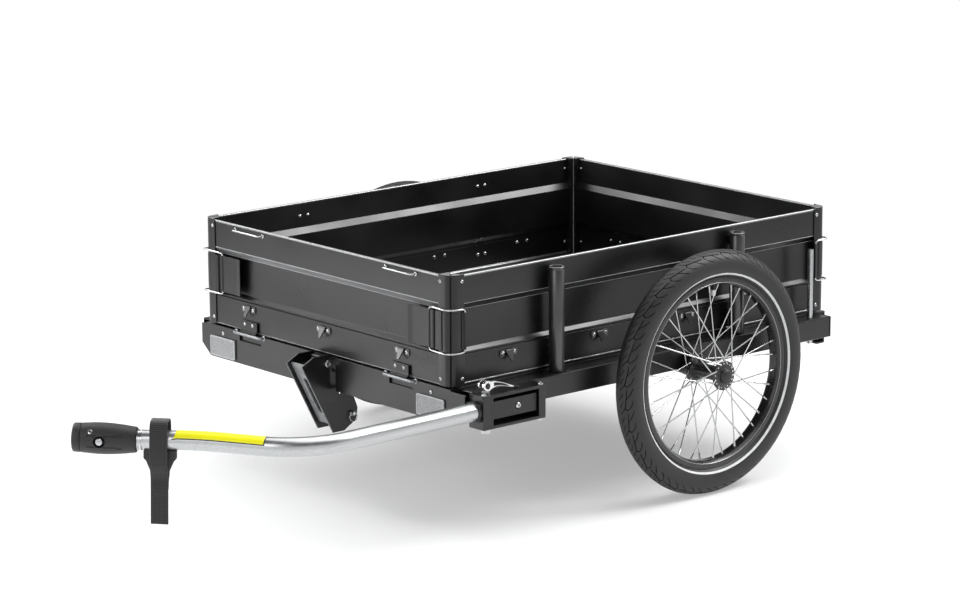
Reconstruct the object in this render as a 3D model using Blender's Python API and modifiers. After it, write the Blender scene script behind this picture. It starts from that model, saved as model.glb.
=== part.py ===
"""Flat-bed bicycle trailer: an aluminium box on two spoked wheels, with a side drawbar.

Metres, +Z up.  The trailer travels towards -Y and its left side is +X.
Dimensions are set out with x = 0 in the middle of the box, y = 0 at the wheel axle
and z = 0 on the ground.  The empty trailer_middle then shifts the whole trailer
along Y, so that its overall length is centred on the origin.
"""
import math

import bmesh
import bpy
from mathutils import Matrix, Vector

# From the axle to the middle of the overall length
LENGTHWISE_SHIFT = 0.3447

# Gaps between pieces that touch
SEAT_GAP = 0.0003
RUNNING_GAP = 0.0004

# Wheels
WHEEL_RADIUS = 0.2025
TYRE_HALF_WIDTH = 0.0212
TYRE_DEPTH = 0.0435
TYRE_BEAD_RADIUS = WHEEL_RADIUS - TYRE_DEPTH
RIM_HALF_WIDTH = 0.0130
RIM_DEPTH = 0.0135
RIM_INNER_RADIUS = TYRE_BEAD_RADIUS - RIM_DEPTH
RIM_WALL = 0.0022
RIM_BED_THICKNESS = 0.0075
WHEEL_STEPS = 40
RIM_FACET_RADIUS = RIM_INNER_RADIUS * math.cos(math.pi / WHEEL_STEPS)
FLANGE_SPACING = 0.0627
FLANGE_RADIUS = 0.0245
FLANGE_THICKNESS = 0.0028
SPOKE_CIRCLE_RADIUS = 0.0205
HUB_BARREL_RADIUS = 0.0132
HUB_END_OVERHANG = 0.0045
SPOKE_COUNT = 36
SPOKE_CROSSINGS = 2
SPOKE_RADIUS = 0.0010
SPOKE_FLANGE_OFFSET = 0.0021
SPOKE_RIM_OFFSET = 0.0022
SPOKE_PHASE_DEGREES = 2.5
VALVE_DEGREES_FROM_TOP = 2.5
VALVE_RADIUS = 0.0030
VALVE_LENGTH = 0.0190
VALVE_CAP_RADIUS = 0.0041
VALVE_CAP_LENGTH = 0.0100

# Axle
AXLE_TUBE_RADIUS = 0.0120
AXLE_PIN_RADIUS = 0.0060
AXLE_PIN_GRIP = 0.0968
HUB_CAP_RADIUS = 0.0122
HUB_CAP_HEIGHT = 0.0075

# Box
BOX_HALF_WIDTH = 0.318
BOX_FRONT = -0.486
BOX_REAR = 0.348
PANEL_TOP = 0.4180
PANEL_BOTTOM = 0.2425
SIDE_PANEL_BOTTOM = 0.2445
PANEL_SHEET = 0.0040
PANEL_INSET = 0.0018
RECESS_DEPTH = 0.0080
RECESS_TOP = 0.3620
RECESS_BOTTOM = 0.3000
RECESS_SLOPE = 0.0102

# Corner posts
POST_RADIUS = 0.0160
POST_BODY_LENGTH = 0.0220
POST_FLANGE_LENGTH = 0.0300
POST_FLANGE_THICKNESS = 0.0015
POST_SEAM = 0.0024
POST_TOP = 0.4195
POST_BOTTOM = 0.2415
POST_ARC_STEPS = 5

# Frame
RAIL_WIDTH = 0.0335
RAIL_OUTER = BOX_HALF_WIDTH + RAIL_WIDTH
WHEEL_CLEARANCE = 0.0447
WHEEL_TRACK_HALF = RAIL_OUTER + WHEEL_CLEARANCE
AXLE_TUBE_OVERHANG = 0.0053
AXLE_TUBE_END = RAIL_OUTER + AXLE_TUBE_OVERHANG
AXLE_PIN_INNER_END = AXLE_TUBE_END - AXLE_PIN_GRIP
RAIL_TOP = 0.2380
RAIL_HEIGHT = 0.0355
RAIL_WALL = 0.0025
RAIL_REAR = 0.3250
RAIL_CAP_THICKNESS = 0.0030
RAIL_PLUG_DEPTH = 0.0120
BEAM_DEPTH = 0.0185
BEAM_WALL = 0.0030
BEAM_TOP = 0.2400
BEAM_BOTTOM = 0.1830
BEAM_EAR_DROP = 0.0040
BEAM_CHAMFER_START = RAIL_OUTER - 0.0415
BEARER_WIDTH = 0.0300
BEARER_HEIGHT = 0.0250
BEARER_WALL = 0.0025
BEARER_FRONT_Y = -0.2400
BEARER_REAR_Y = 0.1700
FLOOR_THICKNESS = 0.0040
FLOOR_SIDE_GAP = 0.0008

# Panel hinges, bows and hooks
HINGE_OFFSET = 0.0075
HINGE_HEIGHT = 0.2380
HINGE_INSET = 0.1220
HINGE_SPACING_HALF = BOX_HALF_WIDTH - HINGE_INSET
LEAF_WIDTH = 0.0430
LEAF_TOP = 0.2600
LEAF_THICKNESS = 0.0025
BARREL_RADIUS = 0.0050
BOW_RADIUS = 0.0022
BOW_SPAN = 0.0740
BOW_END_RUN = 0.0080
TOP_BOW_DROP = 0.0085
TOP_BOW_HEIGHT = PANEL_TOP - TOP_BOW_DROP
HINGE_SLOT_HEIGHT = 0.0130
HOOK_RISE = 0.0375
HOOK_HEIGHT = PANEL_BOTTOM + HOOK_RISE
HOOK_BASE_WIDTH = 0.0300
HOOK_BASE_HEIGHT = 0.0090
HOOK_WIDTH = 0.0060
HOOK_REACH = 0.0110
HOOK_DROP = 0.0100
HOOK_STOCK = 0.0022
SIDE_HOOK_FIRST_Y = -0.3660
SIDE_HOOK_PITCH = 0.1945
SIDE_HOOK_COUNT = 4
END_HOOK_PITCH = 0.1990

# Corner latches
LATCH_BOTTOM = 0.2985
LATCH_TOP = 0.3605
LATCH_PIVOT_SETBACK = 0.0390
LATCH_PIVOT_DEPTH = -0.0012
LATCH_LEVER_LENGTH = 0.0600
LATCH_LEVER_THICKNESS = 0.0020
LATCH_LEVER_STEP = 0.0036
LATCH_BASE_INNER = 0.0350
LATCH_BASE_OUTER = 0.0150
LATCH_BASE_THICKNESS = 0.0020
LATCH_ROLL_RADIUS = 0.0032
LATCH_LIP = 0.0080
BAIL_ARM = 0.0110
BAIL_RADIUS = 0.00125
BAIL_CLEARANCE = 0.0025
BAIL_OVERHANG = 0.0045
CATCH_SETBACK = 0.0212
CATCH_HEIGHT = 0.0024
CATCH_LENGTH = 0.0032

# Stakes
STAKE_RADIUS = 0.0125
STAKE_STANDOFF = 0.0160
STAKE_X = BOX_HALF_WIDTH + STAKE_STANDOFF
STAKE_TOP_DROP = 0.0095
STAKE_TOP = PANEL_TOP - STAKE_TOP_DROP
STAKE_FRONT_Y = -0.2790
STAKE_REAR_Y = 0.1210
STAKE_BORE_RADIUS = 0.0105
STAKE_BORE_DEPTH = 0.0040
SADDLE_WIDTH = 0.0260
SADDLE_HEIGHT = 0.0160
SADDLE_UPPER_DROP = 0.0145
SADDLE_UPPER_Z = STAKE_TOP - SADDLE_UPPER_DROP
SADDLE_LOWER_RISE = 0.0320
SADDLE_LOWER_Z = RAIL_TOP + SADDLE_LOWER_RISE

# Drawbar bracket
BRACKET_FRONT = -0.4780
BRACKET_REAR = -0.3480
BRACKET_TOP = 0.2385
BRACKET_BOTTOM = 0.1845
BRACKET_WIDTH = 0.0345
BRACKET_PLATE = 0.0040
BRACKET_WEB = 0.0022
BRACKET_FRONT_BLOCK = 0.0210
BRACKET_REAR_BLOCK = 0.0140
SKEWER_Y = -0.4576
SKEWER_RADIUS = 0.0040
CAM_RADIUS = 0.0072
CAM_SEAT_THICKNESS = 0.0042
CAM_HEIGHT = 0.2505
QR_ARM_LENGTH = 0.0600
QR_ARM_THICKNESS = 0.0070
SKEWER_NUT_RADIUS = 0.0075
SKEWER_NUT_HEIGHT = 0.0090

# Drawbar
TUBE_RADIUS = 0.0140
TUBE_STANDOFF = 0.0165
TUBE_X = RAIL_OUTER + TUBE_STANDOFF
TUBE_Z = 0.2125
TUBE_START_Y = -0.4848
BEND_LINE_Y = -0.4900
OUTER_BEND_SPREAD = 0.0050
OUTER_BEND_Y = -0.8150
OUTER_BEND_Z = 0.2035
OUTER_BEND = (TUBE_X + OUTER_BEND_SPREAD, OUTER_BEND_Y, OUTER_BEND_Z)
INNER_BEND_X = 0.2280
INNER_BEND_Y = -0.8980
INNER_BEND_Z = 0.2095
INNER_BEND = (INNER_BEND_X, INNER_BEND_Y, INNER_BEND_Z)
HITCH_TIP_X = 0.0845
HITCH_TIP_Y = -1.0360
HITCH_TIP_Z = 0.2145
HITCH_TIP = (HITCH_TIP_X, HITCH_TIP_Y, HITCH_TIP_Z)
FIRST_BEND_RADIUS = 0.50
OUTER_BEND_RADIUS = 0.13
INNER_BEND_RADIUS = 0.30
BEND_STEPS = 6
SLEEVE_SIZE = 0.0280
SLEEVE_REAR = -0.3650
SLEEVE_COLLAR_RADIUS = 0.0165
SLEEVE_COLLAR_LENGTH = 0.0060
FORK_CLEARANCE = 0.0006
SLEEVE_BOLT_Y = -0.4046
SLEEVE_BOLT_RADIUS = 0.0055
SLEEVE_BOLT_DEPTH = 0.0030

# Hitch
HITCH_LENGTH = 0.0980
HITCH_FRONT_RADIUS = 0.0208
HITCH_BELLY_RADIUS = 0.0228
HITCH_REAR_RADIUS = 0.0184
HITCH_SEAM = 0.0130
HITCH_SEAM_DEPTH = 0.0010
HITCH_SOCKET_RADIUS = 0.0125
HITCH_SOCKET_DEPTH = 0.0300
HITCH_TUBE_OVERLAP = 0.0400
HITCH_BUTTON_STATION = 0.0390
HITCH_BUTTON_RADIUS = 0.0058
HITCH_BUTTON_TRAVEL = 0.0030
HITCH_BUTTON_PROUD = 0.0012
HITCH_BUTTON_DEPTH = 0.0060
HITCH_GROOVE_WIDTH = 0.0030
HITCH_GROOVE_DEPTH = 0.0012
HITCH_GROOVE_LENGTH = 0.0560

# Safety strap, in the plane square to the drawbar
STRAP_STATION = 0.1270
STRAP_WIDTH = 0.0250
STRAP_THICKNESS = 0.0020
STRAP_TAIL = 0.1240
STRAP_LOOP_TOP = 0.0325
STRAP_LOOP_HALF = 0.0178
STRAP_JOIN_DROP = 0.0060
KEEPER_TOP_LENGTH = 0.0500
KEEPER_THICKNESS = 0.0110
KEEPER_SHOULDER = 0.0310
KEEPER_BOTTOM = 0.0490

# Cradle at the front middle
CRADLE_HALF_WIDTH = 0.0210
CRADLE_PLATE = 0.0025
CRADLE_TOP = 0.2432
CRADLE_WEB_SETBACK = 0.0120
CRADLE_WEB = 0.0040
CRADLE_SLOT_WIDTH = 0.0090
CRADLE_SLOT_LENGTH = 0.0700
CRADLE_NOSE = (-0.5466, 0.2307)
CRADLE_TOE = (-0.4842, 0.1116)
CRADLE_HEEL = (-0.4618, 0.1116)
CRADLE_BACK_LOW = (-0.4365, 0.1264)
CRADLE_BACK_HIGH = (-0.4333, 0.1460)
CRADLE_CREST = (-0.4900, 0.2432)
CRADLE_NECK = (-0.4868, 0.2340)
CRADLE_SHOULDER = (-0.4830, 0.2200)
CRADLE_WAIST = (-0.4473, 0.1827)
CRADLE_PIVOT = (-0.4954, 0.2295)
CRADLE_PIN = (-0.4470, 0.1390)
CRADLE_PIN_RADIUS = 0.0030
CRADLE_PIN_PROUD = 0.0040
CRADLE_BOLT_RADIUS = 0.0030
CRADLE_BOLT_HEAD_RADIUS = 0.0062
CRADLE_BOLT_HEAD_HEIGHT = 0.0032
CRADLE_CUTOUT_HALF_WIDTH = 0.0300
CRADLE_LUG_FRONT = -0.5010
CRADLE_LUG_BOTTOM = 0.2235
CRADLE_GUIDE_X = 0.0264
CRADLE_GUIDE_RADIUS = 0.0030
CRADLE_GUIDE_BOTTOM = 0.2120
CRADLE_GUIDE_YS = (-0.4785, -0.4580)

# Reflector plates and flag tube
REFLECTOR_INSET = 0.0815
REFLECTOR_X = RAIL_OUTER - REFLECTOR_INSET
REFLECTOR_WIDTH = 0.0670
REFLECTOR_HEIGHT = 0.0340
REFLECTOR_THICKNESS = 0.0025
REFLECTOR_Z = 0.2030
FLAG_TUBE_INSET = 0.0135
FLAG_TUBE_X = RAIL_OUTER - FLAG_TUBE_INSET
FLAG_TUBE_Y = 0.2900
FLAG_TUBE_RADIUS = 0.0050
FLAG_TUBE_BORE = 0.0038
FLAG_TUBE_TOP = 0.3570
FLAG_TUBE_BOTTOM = 0.1950

ACROSS = Vector((1.0, 0.0, 0.0))
ALONG = Vector((0.0, 1.0, 0.0))
UP = Vector((0.0, 0.0, 1.0))
SIDES = (("left", 1), ("right", -1))
ENDS = (("front", -1), ("rear", 1))


def end_face(end):
    """Return the outer face of the box at the front (-1) or the rear (1)."""
    return BOX_FRONT if end < 0 else BOX_REAR


def clear_scene():
    """Remove whatever the open file holds."""
    for scene_object in list(bpy.data.objects):
        bpy.data.objects.remove(scene_object, do_unlink=True)


def new_collection(name):
    collection = bpy.data.collections.new(name)
    bpy.context.scene.collection.children.link(collection)
    return collection


def new_material(name, color, roughness, metallic):
    material = bpy.data.materials.new(name)
    material.use_nodes = True
    shader = material.node_tree.nodes["Principled BSDF"]
    shader.inputs["Base Color"].default_value = (*color, 1.0)
    shader.inputs["Roughness"].default_value = roughness
    shader.inputs["Metallic"].default_value = metallic
    return material


clear_scene()
parts = new_collection("bicycle_trailer")
cutters = new_collection("cutters")
trailer_middle = bpy.data.objects.new("trailer_middle", None)
trailer_middle.location = (0.0, LENGTHWISE_SHIFT, 0.0)
parts.objects.link(trailer_middle)

BLACK_ALUMINIUM = new_material("black_anodised_aluminium", (0.025, 0.025, 0.027), 0.42, 0.6)
BLACK_STEEL = new_material("black_painted_steel", (0.018, 0.018, 0.020), 0.45, 0.2)
RAW_ALUMINIUM = new_material("raw_aluminium", (0.72, 0.73, 0.74), 0.32, 1.0)
STEEL_WIRE = new_material("plated_steel", (0.66, 0.66, 0.67), 0.24, 1.0)
TYRE_RUBBER = new_material("tyre_rubber", (0.030, 0.030, 0.032), 0.85, 0.0)
BLACK_PLASTIC = new_material("black_plastic", (0.030, 0.031, 0.033), 0.50, 0.0)
WEBBING = new_material("black_webbing", (0.030, 0.030, 0.031), 0.90, 0.0)
FLOOR_BOARD = new_material("dark_floor_board", (0.020, 0.020, 0.020), 0.60, 0.0)
REFLECTOR_PLATE = new_material("clear_reflector", (0.45, 0.46, 0.47), 0.20, 0.3)


def place(scene_object, material=None):
    """Put a finished piece in the collection of parts, in its material."""
    parts.objects.link(scene_object)
    scene_object.parent = trailer_middle
    if material is not None:
        scene_object.data.materials.clear()
        scene_object.data.materials.append(material)
    return scene_object


def guide(scene_object):
    """Keep a shape that only cuts or joins other pieces out of the model."""
    cutters.objects.link(scene_object)
    scene_object.parent = trailer_middle
    scene_object.hide_render = True
    scene_object.display_type = "WIRE"
    return scene_object


def boolean(piece, tool, operation):
    modifier = piece.modifiers.new(operation.title() + "_" + tool.name, "BOOLEAN")
    modifier.operation = operation
    modifier.object = tool
    modifier.solver = "EXACT"
    modifier.use_self = operation == "UNION"
    return piece


def cut(piece, *tools):
    for tool in tools:
        boolean(piece, guide(tool), "DIFFERENCE")
    return piece


def join(piece, *tools):
    for tool in tools:
        boolean(piece, guide(tool), "UNION")
    return piece


def box(name, low, high, bevel=0.0):
    """A box between two opposite corners, with its origin in its middle."""
    low, high = Vector(low), Vector(high)
    mesh = bpy.data.meshes.new(name)
    shape = bmesh.new()
    bmesh.ops.create_cube(shape, size=1.0)
    bmesh.ops.scale(shape, vec=high - low, verts=shape.verts)
    shape.to_mesh(mesh)
    shape.free()
    scene_object = bpy.data.objects.new(name, mesh)
    scene_object.location = (low + high) / 2
    if bevel:
        modifier = scene_object.modifiers.new("Rounded edges", "BEVEL")
        modifier.width = bevel
        modifier.segments = 2
        modifier.limit_method = "ANGLE"
    return scene_object


def cylinder(name, start, end, radius, sides=20, end_radius=None):
    """A round bar, or a cone with a second radius, from one point to another."""
    start, end = Vector(start), Vector(end)
    mesh = bpy.data.meshes.new(name)
    shape = bmesh.new()
    bmesh.ops.create_cone(
        shape,
        cap_ends=True,
        segments=sides,
        radius1=radius,
        radius2=radius if end_radius is None else end_radius,
        depth=(end - start).length,
    )
    shape.to_mesh(mesh)
    shape.free()
    mesh.shade_smooth()
    mesh.set_sharp_from_angle(angle=math.radians(35))
    scene_object = bpy.data.objects.new(name, mesh)
    scene_object.location = (start + end) / 2
    scene_object.rotation_euler = (end - start).to_track_quat("Z", "Y").to_euler()
    return scene_object


def turned(name, profile, origin, axis, steps, closed=False):
    """Turn a profile of (radius, height) points about an axis through the origin."""
    mesh = bpy.data.meshes.new(name)
    shape = bmesh.new()
    ring = [shape.verts.new((radius, 0.0, height)) for radius, height in profile]
    for start, end in zip(ring, ring[1:]):
        shape.edges.new((start, end))
    if closed:
        shape.edges.new((ring[-1], ring[0]))
    shape.to_mesh(mesh)
    shape.free()
    scene_object = bpy.data.objects.new(name, mesh)
    modifier = scene_object.modifiers.new("Turn", "SCREW")
    modifier.axis = "Z"
    modifier.steps = steps
    modifier.render_steps = steps
    modifier.use_merge_vertices = True
    modifier.merge_threshold = 0.0001
    modifier.use_smooth_shade = True
    scene_object.location = origin
    scene_object.rotation_euler = Vector(axis).to_track_quat("Z", "Y").to_euler()
    return scene_object


def mesh_of_curve(curve_object):
    """Turn a curve into a closed mesh object of the same name and place."""
    name = curve_object.name
    matrix = curve_object.matrix_basis.copy()
    bpy.context.scene.collection.objects.link(curve_object)
    depsgraph = bpy.context.evaluated_depsgraph_get()
    mesh = bpy.data.meshes.new_from_object(curve_object.evaluated_get(depsgraph))
    shape = bmesh.new()
    shape.from_mesh(mesh)
    bmesh.ops.remove_doubles(shape, verts=shape.verts, dist=0.00001)
    bmesh.ops.recalc_face_normals(shape, faces=shape.faces)
    shape.to_mesh(mesh)
    shape.free()
    bpy.data.objects.remove(curve_object, do_unlink=True)
    mesh_object = bpy.data.objects.new(name, mesh)
    mesh_object.matrix_basis = matrix
    return mesh_object


def extruded(name, outline, length, origin, first_axis, second_axis, bevel=0.0):
    """A flat outline in the plane of two axes, thickened evenly about that plane."""
    curve = bpy.data.curves.new(name, "CURVE")
    curve.dimensions = "2D"
    curve.fill_mode = "BOTH"
    curve.extrude = length / 2
    spline = curve.splines.new("POLY")
    spline.points.add(len(outline) - 1)
    for point, (first, second) in zip(spline.points, outline):
        point.co = (first, second, 0.0, 1.0)
    spline.use_cyclic_u = True
    scene_object = bpy.data.objects.new(name, curve)
    first_axis, second_axis = Vector(first_axis), Vector(second_axis)
    axes = Matrix((first_axis, second_axis, first_axis.cross(second_axis))).transposed()
    scene_object.matrix_basis = Matrix.Translation(origin) @ axes.to_4x4()
    mesh_object = mesh_of_curve(scene_object)
    if bevel:
        modifier = mesh_object.modifiers.new("Rounded edges", "BEVEL")
        modifier.width = bevel
        modifier.segments = 1
        modifier.limit_method = "ANGLE"
    return mesh_object


def wire(name, points, radius, resolution=2, cyclic=False):
    """A round wire or tube along points."""
    curve = bpy.data.curves.new(name, "CURVE")
    curve.dimensions = "3D"
    curve.bevel_depth = radius
    curve.bevel_resolution = resolution
    curve.use_fill_caps = not cyclic
    spline = curve.splines.new("POLY")
    spline.points.add(len(points) - 1)
    origin = Vector(points[0])
    for point, place_on_route in zip(spline.points, points):
        point.co = (*(Vector(place_on_route) - origin), 1.0)
    spline.use_cyclic_u = cyclic
    scene_object = bpy.data.objects.new(name, curve)
    scene_object.location = origin
    mesh_object = mesh_of_curve(scene_object)
    mesh_object.data.shade_smooth()
    mesh_object.data.set_sharp_from_angle(angle=math.radians(50))
    return mesh_object


def merged(name, pieces):
    """Several loose shapes as one mesh, for one cut or join."""
    mesh = bpy.data.meshes.new(name)
    shape = bmesh.new()
    for piece in pieces:
        copy = piece.data.copy()
        copy.transform(piece.matrix_basis)
        shape.from_mesh(copy)
        bpy.data.meshes.remove(copy)
        bpy.data.objects.remove(piece, do_unlink=True)
    bmesh.ops.recalc_face_normals(shape, faces=shape.faces)
    shape.to_mesh(mesh)
    shape.free()
    return bpy.data.objects.new(name, mesh)


def joint_empty(name, position, parent=None):
    """An empty on a joint's axis, which carries the pieces that move on it."""
    empty = bpy.data.objects.new(name, None)
    empty.empty_display_size = 0.02
    parts.objects.link(empty)
    empty.parent = trailer_middle if parent is None else parent
    empty["place"] = tuple(position)
    empty.location = Vector(position) - place_of(parent)
    return empty


def place_of(empty):
    return Vector(empty["place"]) if empty is not None else Vector((0.0, 0.0, 0.0))


def carry(child, parent):
    """Hang a piece that is placed in trailer coordinates on a joint's empty."""
    child.parent = parent
    child.matrix_parent_inverse = Matrix.Translation(-place_of(parent))
    return child


def arc_points(centre, radius, start_degrees, end_degrees, steps):
    """Points on an arc in a plane, both ends included."""
    points = []
    for step in range(steps + 1):
        angle = math.radians(start_degrees + (end_degrees - start_degrees) * step / steps)
        points.append((centre[0] + radius * math.cos(angle), centre[1] + radius * math.sin(angle)))
    return points


def bent_route(corners, radii, steps):
    """A bent tube's centre line: straight runs between corners, each with its own radius."""
    route = [Vector(corners[0])]
    for before, corner, after, radius in zip(corners, corners[1:], corners[2:], radii):
        corner = Vector(corner)
        back = (Vector(before) - corner).normalized()
        ahead = (Vector(after) - corner).normalized()
        half_angle = back.angle(ahead) / 2
        centre = corner + (back + ahead).normalized() * radius / math.sin(half_angle)
        start = corner + back * radius / math.tan(half_angle)
        end = corner + ahead * radius / math.tan(half_angle)
        for step in range(steps + 1):
            chord_point = start.lerp(end, step / steps)
            route.append(centre + (chord_point - centre).normalized() * radius)
    route.append(Vector(corners[-1]))
    return route


def panel_outline(bottom):
    """The pressed sheet in section: (depth inward, height), both bands proud of the middle."""
    low_slope = RECESS_BOTTOM - RECESS_SLOPE
    high_slope = RECESS_TOP + RECESS_SLOPE
    shift = PANEL_SHEET * 0.45
    outer = [
        (0.0, bottom),
        (0.0, low_slope),
        (RECESS_DEPTH, RECESS_BOTTOM),
        (RECESS_DEPTH, RECESS_TOP),
        (0.0, high_slope),
        (0.0, PANEL_TOP),
    ]
    inner = [
        (PANEL_SHEET, PANEL_TOP),
        (PANEL_SHEET, high_slope - shift),
        (RECESS_DEPTH + PANEL_SHEET, RECESS_TOP - shift),
        (RECESS_DEPTH + PANEL_SHEET, RECESS_BOTTOM + shift),
        (PANEL_SHEET, low_slope + shift),
        (PANEL_SHEET, bottom),
    ]
    return outer + inner


def tarp_hook(centre, outward, tag):
    """A small screwed-on base with a finger that bends out and down for a tarpaulin cord."""
    base_outline = [
        (-0.002, -HOOK_BASE_HEIGHT / 2),
        (HOOK_STOCK, -HOOK_BASE_HEIGHT / 2),
        (HOOK_STOCK, HOOK_BASE_HEIGHT / 2),
        (-0.002, HOOK_BASE_HEIGHT / 2),
    ]
    base = extruded("base_" + tag, base_outline, HOOK_BASE_WIDTH, centre, outward, UP)
    finger_outline = [
        (0.0, 0.0035),
        (HOOK_REACH - 0.003, 0.0035),
        (HOOK_REACH, 0.0005),
        (HOOK_REACH, -HOOK_DROP),
        (HOOK_REACH - HOOK_STOCK, -HOOK_DROP),
        (HOOK_REACH - HOOK_STOCK, 0.0),
        (HOOK_REACH - 0.0035, 0.0012),
        (0.0, 0.0012),
    ]
    finger = extruded("finger_" + tag, finger_outline, HOOK_WIDTH, centre, outward, UP)
    return [base, finger]


def bow(name, centre_x, face, outward_sign, height):
    """A round bar whose two ends are bent back into the face that carries it."""
    half = BOW_SPAN / 2
    proud = face + outward_sign * HINGE_OFFSET
    inside = face - outward_sign * BOW_RADIUS
    points = [
        (centre_x - half, inside, height),
        (centre_x - half, face + outward_sign * BOW_RADIUS * 1.3, height),
        (centre_x - half + BOW_END_RUN * 0.5, proud - outward_sign * BOW_RADIUS * 0.6, height),
        (centre_x - half + BOW_END_RUN, proud, height),
        (centre_x + half - BOW_END_RUN, proud, height),
        (centre_x + half - BOW_END_RUN * 0.5, proud - outward_sign * BOW_RADIUS * 0.6, height),
        (centre_x + half, face + outward_sign * BOW_RADIUS * 1.3, height),
        (centre_x + half, inside, height),
    ]
    return wire(name, points, BOW_RADIUS)


# Frame
def build_rails():
    beam_front_inside = BOX_FRONT + BEAM_DEPTH
    rail_front = beam_front_inside + SEAT_GAP
    inner_face = RAIL_OUTER - RAIL_WIDTH
    rail_bottom = RAIL_TOP - RAIL_HEIGHT
    for side_name, side in SIDES:
        xs = sorted((side * inner_face, side * RAIL_OUTER))
        rail = box(
            "side_rail_" + side_name,
            (xs[0], rail_front, rail_bottom),
            (xs[1], RAIL_REAR, RAIL_TOP),
            bevel=0.002,
        )
        bore = box(
            "rail_bore_" + side_name,
            (xs[0] + RAIL_WALL, rail_front - 0.01, rail_bottom + RAIL_WALL),
            (xs[1] - RAIL_WALL, RAIL_REAR + 0.01, RAIL_TOP - RAIL_WALL),
        )
        notch = cylinder(
            "rail_notch_" + side_name,
            (side * (inner_face - 0.01), 0.0, WHEEL_RADIUS),
            (side * (RAIL_OUTER + 0.01), 0.0, WHEEL_RADIUS),
            AXLE_TUBE_RADIUS + SEAT_GAP,
            24,
        )
        tools = [bore, notch]
        if side > 0:
            tools.append(
                cylinder(
                    "flag_hole",
                    (FLAG_TUBE_X, FLAG_TUBE_Y, rail_bottom - 0.01),
                    (FLAG_TUBE_X, FLAG_TUBE_Y, RAIL_TOP + 0.01),
                    FLAG_TUBE_RADIUS + SEAT_GAP,
                    16,
                )
            )
        place(cut(rail, *tools), BLACK_ALUMINIUM)
        cap = box(
            "rail_cap_" + side_name,
            (xs[0], RAIL_REAR + SEAT_GAP, rail_bottom),
            (xs[1], RAIL_REAR + SEAT_GAP + RAIL_CAP_THICKNESS, RAIL_TOP),
            bevel=0.0012,
        )
        plug = box(
            "rail_plug_" + side_name,
            (xs[0] + RAIL_WALL + SEAT_GAP, RAIL_REAR - RAIL_PLUG_DEPTH, rail_bottom + RAIL_WALL + SEAT_GAP),
            (xs[1] - RAIL_WALL - SEAT_GAP, RAIL_REAR + 0.002, RAIL_TOP - RAIL_WALL - SEAT_GAP),
        )
        place(join(cap, plug), BLACK_PLASTIC)


def cradle_mount():
    """The lug and bolt that the cradle turns on, and two guide posts beside its left plate."""
    lug_half = CRADLE_HALF_WIDTH - CRADLE_PLATE - RUNNING_GAP
    lug = box(
        "cradle_lug",
        (-lug_half, CRADLE_LUG_FRONT, CRADLE_LUG_BOTTOM),
        (lug_half, BOX_FRONT + BEAM_DEPTH - 0.001, BEAM_TOP - 0.0005),
    )
    head_inner = CRADLE_HALF_WIDTH + RUNNING_GAP
    head_outer = head_inner + CRADLE_BOLT_HEAD_HEIGHT
    bolt = cylinder(
        "cradle_bolt",
        (-head_outer + 0.001, *CRADLE_PIVOT),
        (head_outer - 0.001, *CRADLE_PIVOT),
        CRADLE_BOLT_RADIUS,
        16,
    )
    heads = [
        cylinder(
            "cradle_bolt_head" + str(side),
            (side * head_inner, *CRADLE_PIVOT),
            (side * head_outer, *CRADLE_PIVOT),
            CRADLE_BOLT_HEAD_RADIUS,
            16,
        )
        for side in (-1, 1)
    ]
    tongue = box(
        "guide_tongue",
        (CRADLE_GUIDE_X - 0.0035, BOX_FRONT + 0.001, BEAM_TOP - BEAM_WALL),
        (CRADLE_CUTOUT_HALF_WIDTH + 0.001, CRADLE_GUIDE_YS[1] + 0.004, BEAM_TOP - 0.0005),
    )
    guides = [
        cylinder(
            "cradle_guide" + str(index),
            (CRADLE_GUIDE_X, y, CRADLE_GUIDE_BOTTOM),
            (CRADLE_GUIDE_X, y, BEAM_TOP - BEAM_WALL * 0.5),
            CRADLE_GUIDE_RADIUS,
            12,
        )
        for index, y in enumerate(CRADLE_GUIDE_YS)
    ]
    return [lug, merged("cradle_bolt_set", [bolt] + heads), tongue, merged("cradle_guides", guides)]


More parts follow.
